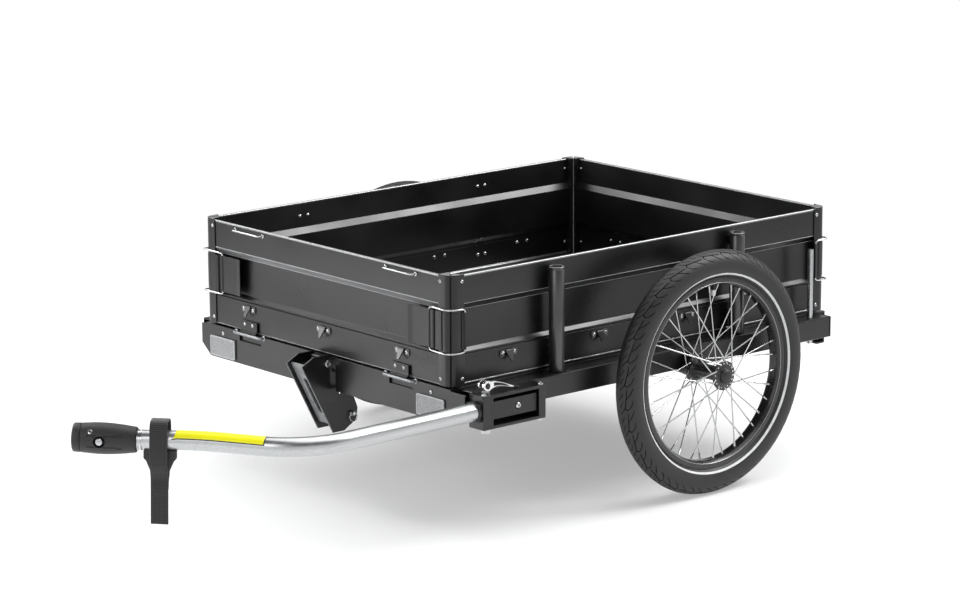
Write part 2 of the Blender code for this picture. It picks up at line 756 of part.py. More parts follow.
def build_cross_beam(end_name, end):
    """The front or rear cross beam, a channel open inwards, with the two hinge bows."""
    face = end_face(end)
    half_length = RAIL_OUTER if end < 0 else RAIL_OUTER - RAIL_WIDTH - SEAT_GAP
    outline = [
        (0.0, BEAM_BOTTOM),
        (0.0, BEAM_TOP),
        (BEAM_DEPTH, BEAM_TOP),
        (BEAM_DEPTH, BEAM_TOP - BEAM_WALL),
        (BEAM_WALL, BEAM_TOP - BEAM_WALL),
        (BEAM_WALL, BEAM_BOTTOM + BEAM_WALL),
        (BEAM_DEPTH, BEAM_BOTTOM + BEAM_WALL),
        (BEAM_DEPTH, BEAM_BOTTOM),
    ]
    inward = ALONG * -end
    beam = extruded(
        end_name + "_beam", outline, 2 * half_length, (0.0, face, 0.0), inward, UP
    )
    tools = []
    if end < 0:
        chamfer_height = RAIL_TOP - RAIL_HEIGHT
        for side_name, side in SIDES:
            corner = [
                (side * BEAM_CHAMFER_START, BEAM_BOTTOM - 0.001),
                (side * (RAIL_OUTER + 0.002), BEAM_BOTTOM - 0.001),
                (side * (RAIL_OUTER + 0.002), chamfer_height),
                (side * RAIL_OUTER, chamfer_height),
            ]
            tools.append(
                extruded(
                    "chamfer_" + side_name, corner, BEAM_DEPTH * 4, (0.0, face, 0.0), ACROSS, UP
                )
            )
            xs = sorted((side * BOX_HALF_WIDTH, side * (RAIL_OUTER + 0.002)))
            tools.append(
                box(
                    "ear_" + side_name,
                    (xs[0], face - 0.01, BEAM_TOP - BEAM_EAR_DROP),
                    (xs[1], face + BEAM_DEPTH + 0.01, BEAM_TOP + 0.01),
                )
            )
    for side_name, side in SIDES:
        centre = side * HINGE_SPACING_HALF
        half_slot = BOW_SPAN / 2 - BOW_END_RUN
        tools.append(
            box(
                "hinge_slot_" + end_name + "_" + side_name,
                (centre - half_slot, face - 0.01, HINGE_HEIGHT - 0.002 - HINGE_SLOT_HEIGHT),
                (centre + half_slot, face + 0.01, HINGE_HEIGHT - 0.004),
            )
        )
    if end < 0:
        tools.append(
            box(
                "cradle_cutout",
                (-CRADLE_CUTOUT_HALF_WIDTH, face - 0.01, BEAM_BOTTOM - 0.01),
                (CRADLE_CUTOUT_HALF_WIDTH, face + BEAM_DEPTH + 0.01, BEAM_TOP - BEAM_WALL - 0.001),
            )
        )
    cut(beam, *tools)
    if end < 0:
        join(beam, *cradle_mount())
    bow_height = HINGE_HEIGHT - 0.0005
    bows = [
        bow("bottom_bow_" + end_name + "_" + side_name, side * HINGE_SPACING_HALF, face, end, bow_height)
        for side_name, side in SIDES
    ]
    join(beam, merged("bottom_bows_" + end_name, bows))
    place(beam, BLACK_ALUMINIUM)


def build_bearers():
    inner_face = RAIL_OUTER - RAIL_WIDTH - SEAT_GAP
    for name, centre in (("floor_bearer_front", BEARER_FRONT_Y), ("floor_bearer_rear", BEARER_REAR_Y)):
        bearer = box(
            name,
            (-inner_face, centre - BEARER_WIDTH / 2, BEAM_TOP - BEARER_HEIGHT),
            (inner_face, centre + BEARER_WIDTH / 2, BEAM_TOP),
            bevel=0.002,
        )
        bore_half = BEARER_WIDTH / 2 - BEARER_WALL
        bore = box(
            name + "_bore",
            (-inner_face - 0.01, centre - bore_half, BEAM_TOP - BEARER_HEIGHT + BEARER_WALL),
            (inner_face + 0.01, centre + bore_half, BEAM_TOP - BEARER_WALL),
        )
        place(cut(bearer, bore), BLACK_ALUMINIUM)


def build_floor():
    """The floor board, notched round the corner posts."""
    half = BOX_HALF_WIDTH - PANEL_INSET - PANEL_SHEET - FLOOR_SIDE_GAP
    front = BOX_FRONT + PANEL_INSET + PANEL_SHEET + FLOOR_SIDE_GAP
    rear = BOX_REAR - PANEL_INSET - PANEL_SHEET - FLOOR_SIDE_GAP
    notch_x = BOX_HALF_WIDTH - POST_BODY_LENGTH - FLOOR_SIDE_GAP
    notch_front = BOX_FRONT + POST_BODY_LENGTH + FLOOR_SIDE_GAP
    notch_rear = BOX_REAR - POST_BODY_LENGTH - FLOOR_SIDE_GAP
    outline = [
        (-notch_x, front),
        (notch_x, front),
        (notch_x, notch_front),
        (half, notch_front),
        (half, notch_rear),
        (notch_x, notch_rear),
        (notch_x, rear),
        (-notch_x, rear),
        (-notch_x, notch_rear),
        (-half, notch_rear),
        (-half, notch_front),
        (-notch_x, notch_front),
    ]
    height = BEAM_TOP + SEAT_GAP + FLOOR_THICKNESS / 2
    board = extruded("floor_board", outline, FLOOR_THICKNESS, (0.0, 0.0, height), ACROSS, ALONG)
    place(board, FLOOR_BOARD)


def build_axle():
    """The cross tube that takes both wheel pins."""
    tube = cylinder(
        "axle_tube",
        (-AXLE_TUBE_END, 0.0, WHEEL_RADIUS),
        (AXLE_TUBE_END, 0.0, WHEEL_RADIUS),
        AXLE_TUBE_RADIUS,
        24,
    )
    bore = cylinder(
        "axle_bore",
        (-AXLE_TUBE_END - 0.01, 0.0, WHEEL_RADIUS),
        (AXLE_TUBE_END + 0.01, 0.0, WHEEL_RADIUS),
        AXLE_PIN_RADIUS + SEAT_GAP,
        24,
    )
    place(cut(tube, bore), BLACK_STEEL)


# Box
def build_side_panels():
    front = BOX_FRONT + POST_BODY_LENGTH + SEAT_GAP
    rear = BOX_REAR - POST_BODY_LENGTH - SEAT_GAP
    length = rear - front
    middle = (front + rear) / 2
    for side_name, side in SIDES:
        face = side * (BOX_HALF_WIDTH - PANEL_INSET)
        panel = extruded(
            "side_panel_" + side_name,
            panel_outline(SIDE_PANEL_BOTTOM),
            length,
            (face, middle, 0.0),
            ACROSS * -side,
            UP,
        )
        hooks = []
        for index in range(SIDE_HOOK_COUNT):
            centre = (face, SIDE_HOOK_FIRST_Y + index * SIDE_HOOK_PITCH, HOOK_HEIGHT)
            hooks += tarp_hook(centre, ACROSS * side, side_name + str(index))
        join(panel, merged("side_hooks_" + side_name, hooks))
        place(panel, BLACK_ALUMINIUM)


def hinge_leaf(tag, centre_x, face, end):
    """A leaf on the panel with a knuckle that turns on the beam's bow."""
    axis_y = face + end * HINGE_OFFSET
    near, far = sorted((face - end * 0.003, face + end * LEAF_THICKNESS))
    leaf = box(
        "leaf_" + tag,
        (centre_x - LEAF_WIDTH / 2, near, PANEL_BOTTOM - 0.0005),
        (centre_x + LEAF_WIDTH / 2, far, LEAF_TOP),
    )
    link = extruded(
        "leaf_link_" + tag,
        [
            (LEAF_THICKNESS - 0.002, PANEL_BOTTOM + 0.004),
            (LEAF_THICKNESS - 0.002, PANEL_BOTTOM + 0.0002),
            (HINGE_OFFSET - 0.001, HINGE_HEIGHT + BARREL_RADIUS - 0.0020),
            (HINGE_OFFSET, HINGE_HEIGHT + BARREL_RADIUS - 0.0002),
            (LEAF_THICKNESS, PANEL_BOTTOM + 0.0055),
        ],
        LEAF_WIDTH,
        (centre_x, face, 0.0),
        ALONG * end,
        UP,
    )
    barrel = cylinder(
        "barrel_" + tag,
        (centre_x - LEAF_WIDTH / 2, axis_y, HINGE_HEIGHT),
        (centre_x + LEAF_WIDTH / 2, axis_y, HINGE_HEIGHT),
        BARREL_RADIUS,
        16,
    )
    return [leaf, link, barrel]


def build_end_panel(end_name, end, hinge_empty):
    """The front or rear panel, with its leaves, its top bows and its hooks."""
    face = end_face(end) - end * PANEL_INSET
    half = BOX_HALF_WIDTH - POST_BODY_LENGTH - SEAT_GAP
    panel = extruded(
        end_name + "_panel", panel_outline(PANEL_BOTTOM), 2 * half, (0.0, face, 0.0), ALONG * -end, UP
    )
    leaves, bows, hooks = [], [], []
    for side_name, side in SIDES:
        tag = end_name + "_" + side_name
        centre = side * HINGE_SPACING_HALF
        leaves += hinge_leaf(tag, centre, end_face(end), end)
        bows.append(bow("top_bow_" + tag, centre, face, end, TOP_BOW_HEIGHT))
    for index in (-1, 0, 1):
        centre = (index * END_HOOK_PITCH, face, HOOK_HEIGHT)
        hooks += tarp_hook(centre, ALONG * end, end_name + str(index))
    join(panel, merged("leaves_" + end_name, leaves))
    knuckle_bores = [
        cylinder(
            "knuckle_bore_" + end_name + "_" + side_name,
            (side * HINGE_SPACING_HALF - BOW_SPAN, end_face(end) + end * HINGE_OFFSET, HINGE_HEIGHT),
            (side * HINGE_SPACING_HALF + BOW_SPAN, end_face(end) + end * HINGE_OFFSET, HINGE_HEIGHT),
            BOW_RADIUS + RUNNING_GAP + 0.0004,
            16,
        )
        for side_name, side in SIDES
    ]
    cut(panel, *knuckle_bores)
    join(panel, merged("hooks_" + end_name, hooks), merged("top_bows_" + end_name, bows))
    place(panel, BLACK_ALUMINIUM)
    carry(panel, hinge_empty)


def post_outline():
    """Half of a corner post in plan: (distance along the panel, depth inward)."""
    seam = POST_SEAM / 2 * math.sqrt(2.0)
    arc = arc_points((POST_RADIUS, POST_RADIUS), POST_RADIUS, 225.0, 270.0, POST_ARC_STEPS)
    arc[0] = (arc[0][0] + seam / 2, arc[0][1] - seam * 0.30)
    return arc + [
        (POST_FLANGE_LENGTH, 0.0),
        (POST_FLANGE_LENGTH, POST_FLANGE_THICKNESS),
        (POST_BODY_LENGTH, POST_FLANGE_THICKNESS),
        (POST_BODY_LENGTH, POST_RADIUS),
        (POST_RADIUS + seam, POST_RADIUS),
    ]


def build_corner(end_name, end, side_name, side, hinge_empty):
    """The two halves of a corner post: one on the side panel, one on the end panel."""
    corner = Vector((side * BOX_HALF_WIDTH, end_face(end), 0.0))
    to_middle_x = ACROSS * -side
    to_middle_y = ALONG * -end
    height = POST_TOP - POST_BOTTOM
    tag = end_name + "_" + side_name
    mid = corner + UP * (POST_TOP + POST_BOTTOM) / 2
    side_post = extruded(
        "side_post_" + tag, post_outline(), height, mid, to_middle_y, to_middle_x
    )
    catch_centre = corner + to_middle_y * CATCH_SETBACK
    ridge = extruded(
        "catch_" + tag,
        [
            (-CATCH_LENGTH / 2, 0.001),
            (-CATCH_LENGTH / 2, -CATCH_HEIGHT * 0.5),
            (0.0, -CATCH_HEIGHT),
            (CATCH_LENGTH / 2, -CATCH_HEIGHT),
            (CATCH_LENGTH / 2, 0.001),
        ],
        LATCH_TOP - LATCH_BOTTOM,
        catch_centre + UP * (LATCH_TOP + LATCH_BOTTOM) / 2,
        to_middle_y,
        to_middle_x,
    )
    place(join(side_post, ridge), BLACK_ALUMINIUM)
    end_post = extruded(
        "end_post_" + tag, post_outline(), height, mid, to_middle_x, to_middle_y
    )
    base_middle = corner + UP * (LATCH_TOP + LATCH_BOTTOM) / 2
    base = extruded(
        "latch_base_" + tag,
        [
            (LATCH_BASE_OUTER, POST_FLANGE_THICKNESS * 0.5),
            (LATCH_BASE_OUTER, -LATCH_BASE_THICKNESS * 0.5),
            (LATCH_BASE_OUTER + 0.001, -LATCH_BASE_THICKNESS),
            (LATCH_BASE_INNER, -LATCH_BASE_THICKNESS),
            (LATCH_BASE_INNER, -0.0002),
            (POST_FLANGE_LENGTH - 0.001, POST_FLANGE_THICKNESS * 0.5),
        ],
        LATCH_TOP - LATCH_BOTTOM,
        base_middle,
        to_middle_x,
        to_middle_y,
    )
    place(join(end_post, base), BLACK_ALUMINIUM)
    carry(end_post, hinge_empty)


def build_latch(end_name, end, side_name, side, hinge_empty):
    """A lever that lies in the panel's recess, and a wire bail that goes round the post."""
    tag = end_name + "_" + side_name
    corner = Vector((side * BOX_HALF_WIDTH, end_face(end), 0.0))
    inward_x = ACROSS * -side
    outward_y = ALONG * end
    pivot = corner + inward_x * LATCH_PIVOT_SETBACK - outward_y * LATCH_PIVOT_DEPTH
    middle = UP * (LATCH_TOP + LATCH_BOTTOM) / 2
    lever_empty = joint_empty("latch_pivot_" + tag, pivot + middle, hinge_empty)
    thickness = LATCH_LEVER_THICKNESS
    half = thickness / 2
    step = -LATCH_LEVER_STEP
    lever_outline = [
        (0.0, -half),
        (0.0030, -half),
        (0.0075, step - half),
        (LATCH_LEVER_LENGTH * 0.60, step - half),
        (LATCH_LEVER_LENGTH * 0.86, step - half + LATCH_LIP * 0.30),
        (LATCH_LEVER_LENGTH, step - half + LATCH_LIP),
        (LATCH_LEVER_LENGTH - thickness, step - half + LATCH_LIP + thickness * 0.6),
        (LATCH_LEVER_LENGTH * 0.83, step + half + LATCH_LIP * 0.30),
        (LATCH_LEVER_LENGTH * 0.58, step + half),
        (0.0085, step + half),
        (0.0040, half),
        (0.0, half),
    ]
    height = LATCH_TOP - LATCH_BOTTOM
    lever = extruded(
        "latch_lever_" + tag, lever_outline, height, pivot + middle, inward_x, outward_y
    )
    roll = cylinder(
        "latch_roll_" + tag,
        pivot + UP * LATCH_BOTTOM,
        pivot + UP * LATCH_TOP,
        LATCH_ROLL_RADIUS,
        12,
    )
    join(lever, roll)
    place(lever, BLACK_ALUMINIUM)
    carry(lever, lever_empty)

    leg = pivot + inward_x * BAIL_ARM + outward_y * (step + half + BAIL_RADIUS + SEAT_GAP)
    bail_empty = joint_empty("bail_pivot_" + tag, leg + middle, lever_empty)
    offset = BAIL_CLEARANCE
    front_line = (leg - corner).dot(outward_y)
    arc_radius = POST_RADIUS + offset
    arc_centre = corner + inward_x * POST_RADIUS - outward_y * POST_RADIUS
    rod = corner - inward_x * offset - outward_y * (CATCH_SETBACK + CATCH_LENGTH / 2 + BAIL_RADIUS + SEAT_GAP)
    plan = [leg]
    plan.append(leg - inward_x * BAIL_ARM + outward_y * (offset - front_line) * 0.5)
    for step in range(5):
        angle = math.radians(90.0 * step / 4)
        plan.append(
            arc_centre + outward_y * arc_radius * math.cos(angle) - inward_x * arc_radius * math.sin(angle)
        )
    plan.append(rod)
    high = LATCH_TOP + BAIL_OVERHANG
    low = LATCH_BOTTOM - BAIL_OVERHANG
    corner_cut = 0.0030
    loop = [plan[0] + UP * (low + corner_cut), plan[0] + UP * (high - corner_cut)]
    loop += [point + UP * high for point in plan[1:-1]]
    loop += [plan[-1] + UP * (high - corner_cut), plan[-1] + UP * (low + corner_cut)]
    loop += [point + UP * low for point in reversed(plan[1:-1])]
    bail = wire("latch_bail_" + tag, loop, BAIL_RADIUS, resolution=1, cyclic=True)
    place(bail, STEEL_WIRE)
    carry(bail, bail_empty)


def build_stakes():
    """Round stakes on the rails, screwed to the side panels through two saddles each."""
    panel_face = BOX_HALF_WIDTH - PANEL_INSET + SEAT_GAP
    for side_name, side in SIDES:
        for end_name, y in (("front", STAKE_FRONT_Y), ("rear", STAKE_REAR_Y)):
            tag = end_name + "_" + side_name
            stake = cylinder(
                "stake_" + tag,
                (side * STAKE_X, y, RAIL_TOP + SEAT_GAP),
                (side * STAKE_X, y, STAKE_TOP),
                STAKE_RADIUS,
                24,
            )
            saddles = []
            for index, z in enumerate((SADDLE_LOWER_Z, SADDLE_UPPER_Z)):
                xs = sorted((side * panel_face, side * (STAKE_X - STAKE_RADIUS * 0.5)))
                saddles.append(
                    box(
                        "saddle_" + tag + str(index),
                        (xs[0], y - SADDLE_WIDTH / 2, z - SADDLE_HEIGHT / 2),
                        (xs[1], y + SADDLE_WIDTH / 2, z + SADDLE_HEIGHT / 2),
                    )
                )
            join(stake, merged("saddles_" + tag, saddles))
            bore = cylinder(
                "stake_bore_" + tag,
                (side * STAKE_X, y, STAKE_TOP - STAKE_BORE_DEPTH),
                (side * STAKE_X, y, STAKE_TOP + 0.01),
                STAKE_BORE_RADIUS,
                24,
            )
            place(cut(stake, bore), BLACK_ALUMINIUM)


# Wheels
def tyre_profile():
    """Tyre in section: (radius, height across), crown first, down its outer side."""
    top = WHEEL_RADIUS
    bead = TYRE_BEAD_RADIUS
    rise = top - bead
    half = TYRE_HALF_WIDTH
    outer = [
        (top, 0.0),
        (top - rise * 0.045, -half * 0.38),
        (top - rise * 0.190, -half * 0.75),
        (top - rise * 0.420, -half * 0.98),
        (top - rise * 0.640, -half * 0.95),
        (top - rise * 0.880, -half * 0.72),
        (bead, -RIM_HALF_WIDTH * 0.92),
    ]
    mirrored = [(radius, -height) for radius, height in reversed(outer[1:])]
    return outer + mirrored


def rim_profile():
    """A box rim in section with two raised edges that hold the tyre's beads."""
    edge = TYRE_BEAD_RADIUS - SEAT_GAP
    well = RIM_INNER_RADIUS + RIM_BED_THICKNESS
    half = RIM_HALF_WIDTH
    lower = [
        (well, -(half - RIM_WALL - 0.001)),
        (edge - 0.0012, -(half - RIM_WALL)),
        (edge, -(half - RIM_WALL * 0.4)),
        (edge - 0.0012, -half),
        (RIM_INNER_RADIUS + 0.0040, -half),
        (RIM_INNER_RADIUS, -half * 0.60),
    ]
    upper = [(radius, -height) for radius, height in reversed(lower)]
    return lower + upper


def build_spoked_hub(side_name, side, centre, wheel_empty):
    """Hub shell with two high flanges and its crossed spokes."""
    half = FLANGE_SPACING / 2
    ft = FLANGE_THICKNESS / 2
    end = half + HUB_END_OVERHANG
    bore = AXLE_PIN_RADIUS + RUNNING_GAP
    profile = [
        (bore, end),
        (HUB_BARREL_RADIUS, end),
        (HUB_BARREL_RADIUS, half + ft + 0.0012),
        (SPOKE_CIRCLE_RADIUS - 0.0045, half + ft),
        (FLANGE_RADIUS, half + ft),
        (FLANGE_RADIUS, half - ft),
        (SPOKE_CIRCLE_RADIUS - 0.0045, half - ft),
        (HUB_BARREL_RADIUS, half - ft - 0.0040),
        (HUB_BARREL_RADIUS, -(half - ft - 0.0040)),
        (SPOKE_CIRCLE_RADIUS - 0.0045, -(half - ft)),
        (FLANGE_RADIUS, -(half - ft)),
        (FLANGE_RADIUS, -(half + ft)),
        (SPOKE_CIRCLE_RADIUS - 0.0045, -(half + ft)),
        (HUB_BARREL_RADIUS, -(half + ft + 0.0012)),
        (HUB_BARREL_RADIUS, -end),
        (bore, -end),
    ]
    hub = turned("spoked_hub_" + side_name, profile, centre, ACROSS * side, 20, closed=True)
    per_flange = SPOKE_COUNT // 2
    pitch = 360.0 / per_flange
    rim_radius = RIM_FACET_RADIUS - 2 * SEAT_GAP
    spokes = []
    for flange in (-1, 1):
        for index in range(per_flange):
            lead = 1 if index % 2 else -1
            shift = SPOKE_PHASE_DEGREES + (pitch / 2 if flange > 0 else 0.0)
            hole_angle = math.radians(pitch * index + shift)
            rim_angle = hole_angle + math.radians(lead * pitch * SPOKE_CROSSINGS)
            flange_x = flange * (FLANGE_SPACING / 2) + lead * SPOKE_FLANGE_OFFSET
            start = centre + Vector(
                (
                    flange_x,
                    SPOKE_CIRCLE_RADIUS * math.cos(hole_angle),
                    SPOKE_CIRCLE_RADIUS * math.sin(hole_angle),
                )
            )
            end_point = centre + Vector(
                (
                    flange * SPOKE_RIM_OFFSET,
                    rim_radius * math.cos(rim_angle),
                    rim_radius * math.sin(rim_angle),
                )
            )
            direction = (end_point - start).normalized()
            spokes.append(
                cylinder("spoke", start - direction * 0.003, end_point, SPOKE_RADIUS, 4)
            )
    join(hub, merged("spokes_" + side_name, spokes))
    place(hub, BLACK_ALUMINIUM)
    carry(hub, wheel_empty)


def build_wheel(side_name, side):
    centre = Vector((side * WHEEL_TRACK_HALF, 0.0, WHEEL_RADIUS))
    wheel_empty = joint_empty("wheel_axis_" + side_name, centre)
    axis = ACROSS * side
    tyre = turned("tyre_" + side_name, tyre_profile(), centre, axis, WHEEL_STEPS, closed=True)
    rim = turned("rim_" + side_name, rim_profile(), centre, axis, WHEEL_STEPS, closed=True)
    for piece, material in ((tyre, TYRE_RUBBER), (rim, BLACK_ALUMINIUM)):
        place(piece, material)
        carry(piece, wheel_empty)
    build_spoked_hub(side_name, side, centre, wheel_empty)

    stem_base = RIM_FACET_RADIUS - SEAT_GAP
    valve_profile = [
        (0.0, 0.0),
        (VALVE_RADIUS, 0.0),
        (VALVE_RADIUS, -(VALVE_LENGTH - VALVE_CAP_LENGTH)),
        (VALVE_CAP_RADIUS, -(VALVE_LENGTH - VALVE_CAP_LENGTH)),
        (VALVE_CAP_RADIUS, -VALVE_LENGTH + 0.0015),
        (VALVE_CAP_RADIUS * 0.6, -VALVE_LENGTH),
        (0.0, -VALVE_LENGTH),
    ]
    lean = math.radians(VALVE_DEGREES_FROM_TOP)
    valve_axis = UP * math.cos(lean) + ALONG * math.sin(lean)
    valve = turned("valve_" + side_name, valve_profile, centre + valve_axis * stem_base, valve_axis, 10)
    place(valve, BLACK_PLASTIC)
    carry(valve, wheel_empty)

    pin_outer_end = WHEEL_TRACK_HALF + FLANGE_SPACING / 2 + HUB_END_OVERHANG
    pin = cylinder(
        "axle_pin_" + side_name,
        (side * AXLE_PIN_INNER_END, 0.0, WHEEL_RADIUS),
        (side * pin_outer_end, 0.0, WHEEL_RADIUS),
        AXLE_PIN_RADIUS,
        24,
    )
    washer = cylinder(
        "axle_shoulder_" + side_name,
        (side * (AXLE_TUBE_END + SEAT_GAP), 0.0, WHEEL_RADIUS),
        (side * (WHEEL_TRACK_HALF - FLANGE_SPACING / 2 - HUB_END_OVERHANG - RUNNING_GAP), 0.0, WHEEL_RADIUS),
        AXLE_PIN_RADIUS * 1.5,
        24,
    )
    place(join(pin, washer), STEEL_WIRE)

    cap_base = pin_outer_end + SEAT_GAP
    cap_profile = [(0.0, HUB_CAP_HEIGHT)]
    cap_profile += [
        (HUB_CAP_RADIUS * math.sin(angle), HUB_CAP_HEIGHT * (0.35 + 0.65 * math.cos(angle)))
        for angle in (math.radians(30), math.radians(55), math.radians(78), math.radians(90))
    ]
    cap_profile += [(HUB_CAP_RADIUS, 0.0), (0.0, 0.0)]
    cap = turned(
        "hub_cap_" + side_name, cap_profile, (side * cap_base, 0.0, WHEEL_RADIUS), axis, 20
    )
    place(cap, BLACK_PLASTIC)
    carry(cap, wheel_empty)


# Drawbar
def build_bracket():
    """The bracket on the left rail: two plates, a web and two blocks round the drawbar's sleeve."""
    inner = RAIL_OUTER + SEAT_GAP
    outer = inner + BRACKET_WIDTH
    bracket = box(
        "drawbar_bracket",
        (inner, BRACKET_FRONT, BRACKET_BOTTOM),
        (outer, BRACKET_REAR, BRACKET_TOP),
    )
    window = box(
        "bracket_window",
        (inner + BRACKET_WEB, BRACKET_FRONT + BRACKET_FRONT_BLOCK, BRACKET_BOTTOM + BRACKET_PLATE),
        (outer + 0.01, BRACKET_REAR - BRACKET_REAR_BLOCK, BRACKET_TOP - BRACKET_PLATE),
    )
    half = SLEEVE_SIZE / 2 + RUNNING_GAP
    passage = box(
        "bracket_passage",
        (TUBE_X - half, BRACKET_FRONT - 0.01, TUBE_Z - half),
        (TUBE_X + half, BRACKET_REAR - BRACKET_REAR_BLOCK - 0.001, TUBE_Z + half),
    )
    skewer_hole = cylinder(
        "skewer_hole",
        (TUBE_X, SKEWER_Y, BRACKET_BOTTOM - 0.01),
        (TUBE_X, SKEWER_Y, BRACKET_TOP + 0.01),
        SKEWER_RADIUS + SEAT_GAP,
        16,
    )
    place(cut(bracket, window, passage, skewer_hole), BLACK_ALUMINIUM)


def build_quick_release():
    """The clamping skewer through the bracket and its cam lever."""
    seat_bottom = BRACKET_TOP + SEAT_GAP
    seat_top = seat_bottom + CAM_SEAT_THICKNESS
    nut_top = BRACKET_BOTTOM - SEAT_GAP
    rod = cylinder(
        "skewer",
        (TUBE_X, SKEWER_Y, nut_top - SKEWER_NUT_HEIGHT),
        (TUBE_X, SKEWER_Y, seat_top),
        SKEWER_RADIUS,
        16,
    )
    nut = cylinder(
        "skewer_nut",
        (TUBE_X, SKEWER_Y, nut_top - SKEWER_NUT_HEIGHT),
        (TUBE_X, SKEWER_Y, nut_top),
        SKEWER_NUT_RADIUS,
        12,
    )
    seat = cylinder(
        "skewer_seat",
        (TUBE_X, SKEWER_Y, seat_bottom),
        (TUBE_X, SKEWER_Y, seat_top),
        CAM_RADIUS,
        16,
    )
    place(join(rod, nut, seat), STEEL_WIRE)

    axis_point = Vector((TUBE_X, SKEWER_Y, CAM_HEIGHT))
    cam_empty = joint_empty("quick_release_pivot", axis_point)
    ring = arc_points((0.0, 0.0), CAM_RADIUS, 55.0, 305.0, 12)
    arm_outline = ring + [
        (QR_ARM_LENGTH * 0.30, -0.0028),
        (QR_ARM_LENGTH * 0.62, -0.0060),
        (QR_ARM_LENGTH * 0.90, -0.0105),
        (QR_ARM_LENGTH, -0.0095),
        (QR_ARM_LENGTH * 0.92, -0.0070),
        (QR_ARM_LENGTH * 0.62, -0.0005),
        (QR_ARM_LENGTH * 0.36, 0.0040),
    ]
    lever = extruded(
        "quick_release_lever", arm_outline, QR_ARM_THICKNESS, axis_point, ALONG, UP
    )
    cut(
        lever,
        cylinder(
            "cam_hole",
            axis_point - ACROSS * QR_ARM_THICKNESS,
            axis_point + ACROSS * QR_ARM_THICKNESS,
            CAM_RADIUS * 0.45,
            12,
        ),
    )
    place(lever, RAW_ALUMINIUM)
    carry(lever, cam_empty)


def hitch_axis():
    """The direction of the last straight run, from the hitch's mouth back to the bend."""
    return (Vector(INNER_BEND) - Vector(HITCH_TIP)).normalized()


def build_drawbar():
    drawbar_empty = joint_empty("drawbar_slide", (TUBE_X, TUBE_START_Y, TUBE_Z))
    back = hitch_axis()
    tube_end = Vector(HITCH_TIP) + back * (HITCH_LENGTH - HITCH_TUBE_OVERLAP)
    corners = [
        (TUBE_X, TUBE_START_Y, TUBE_Z),
        (TUBE_X, BEND_LINE_Y - 0.0100, TUBE_Z),
        OUTER_BEND,
        INNER_BEND,
        tuple(tube_end),
    ]
    route = bent_route(corners, (FIRST_BEND_RADIUS, OUTER_BEND_RADIUS, INNER_BEND_RADIUS), BEND_STEPS)
    tube = wire("drawbar_tube", route, TUBE_RADIUS, resolution=3)
    place(tube, RAW_ALUMINIUM)
    carry(tube, drawbar_empty)

    half = SLEEVE_SIZE / 2
    sleeve_front = TUBE_START_Y + SEAT_GAP
    sleeve = box(
        "drawbar_sleeve",
        (TUBE_X - half, sleeve_front, TUBE_Z - half),
        (TUBE_X + half, SLEEVE_REAR, TUBE_Z + half),
    )
    collar = cylinder(
        "sleeve_collar",
        (TUBE_X, sleeve_front, TUBE_Z),
        (TUBE_X, sleeve_front + SLEEVE_COLLAR_LENGTH, TUBE_Z),
        SLEEVE_COLLAR_RADIUS,
        24,
    )
    join(sleeve, collar)
    slot_half = SKEWER_RADIUS + FORK_CLEARANCE
    fork = box(
        "sleeve_fork",
        (TUBE_X - slot_half, SKEWER_Y, TUBE_Z - half - 0.01),
        (TUBE_X + slot_half, SLEEVE_REAR + 0.01, TUBE_Z + half + 0.01),
    )
    fork_end = cylinder(
        "sleeve_fork_end",
        (TUBE_X, SKEWER_Y, TUBE_Z - half - 0.01),
        (TUBE_X, SKEWER_Y, TUBE_Z + half + 0.01),
        slot_half,
        16,
    )
    bolt_pocket = cylinder(
        "sleeve_bolt_pocket",
        (TUBE_X + half - SLEEVE_BOLT_DEPTH, SLEEVE_BOLT_Y, TUBE_Z),
        (TUBE_X + half + 0.01, SLEEVE_BOLT_Y, TUBE_Z),
        SLEEVE_BOLT_RADIUS,
        16,
    )
    place(cut(sleeve, fork, fork_end, bolt_pocket), BLACK_PLASTIC)
    carry(sleeve, drawbar_empty)
    build_hitch(back, drawbar_empty)
    build_strap(back, drawbar_empty)


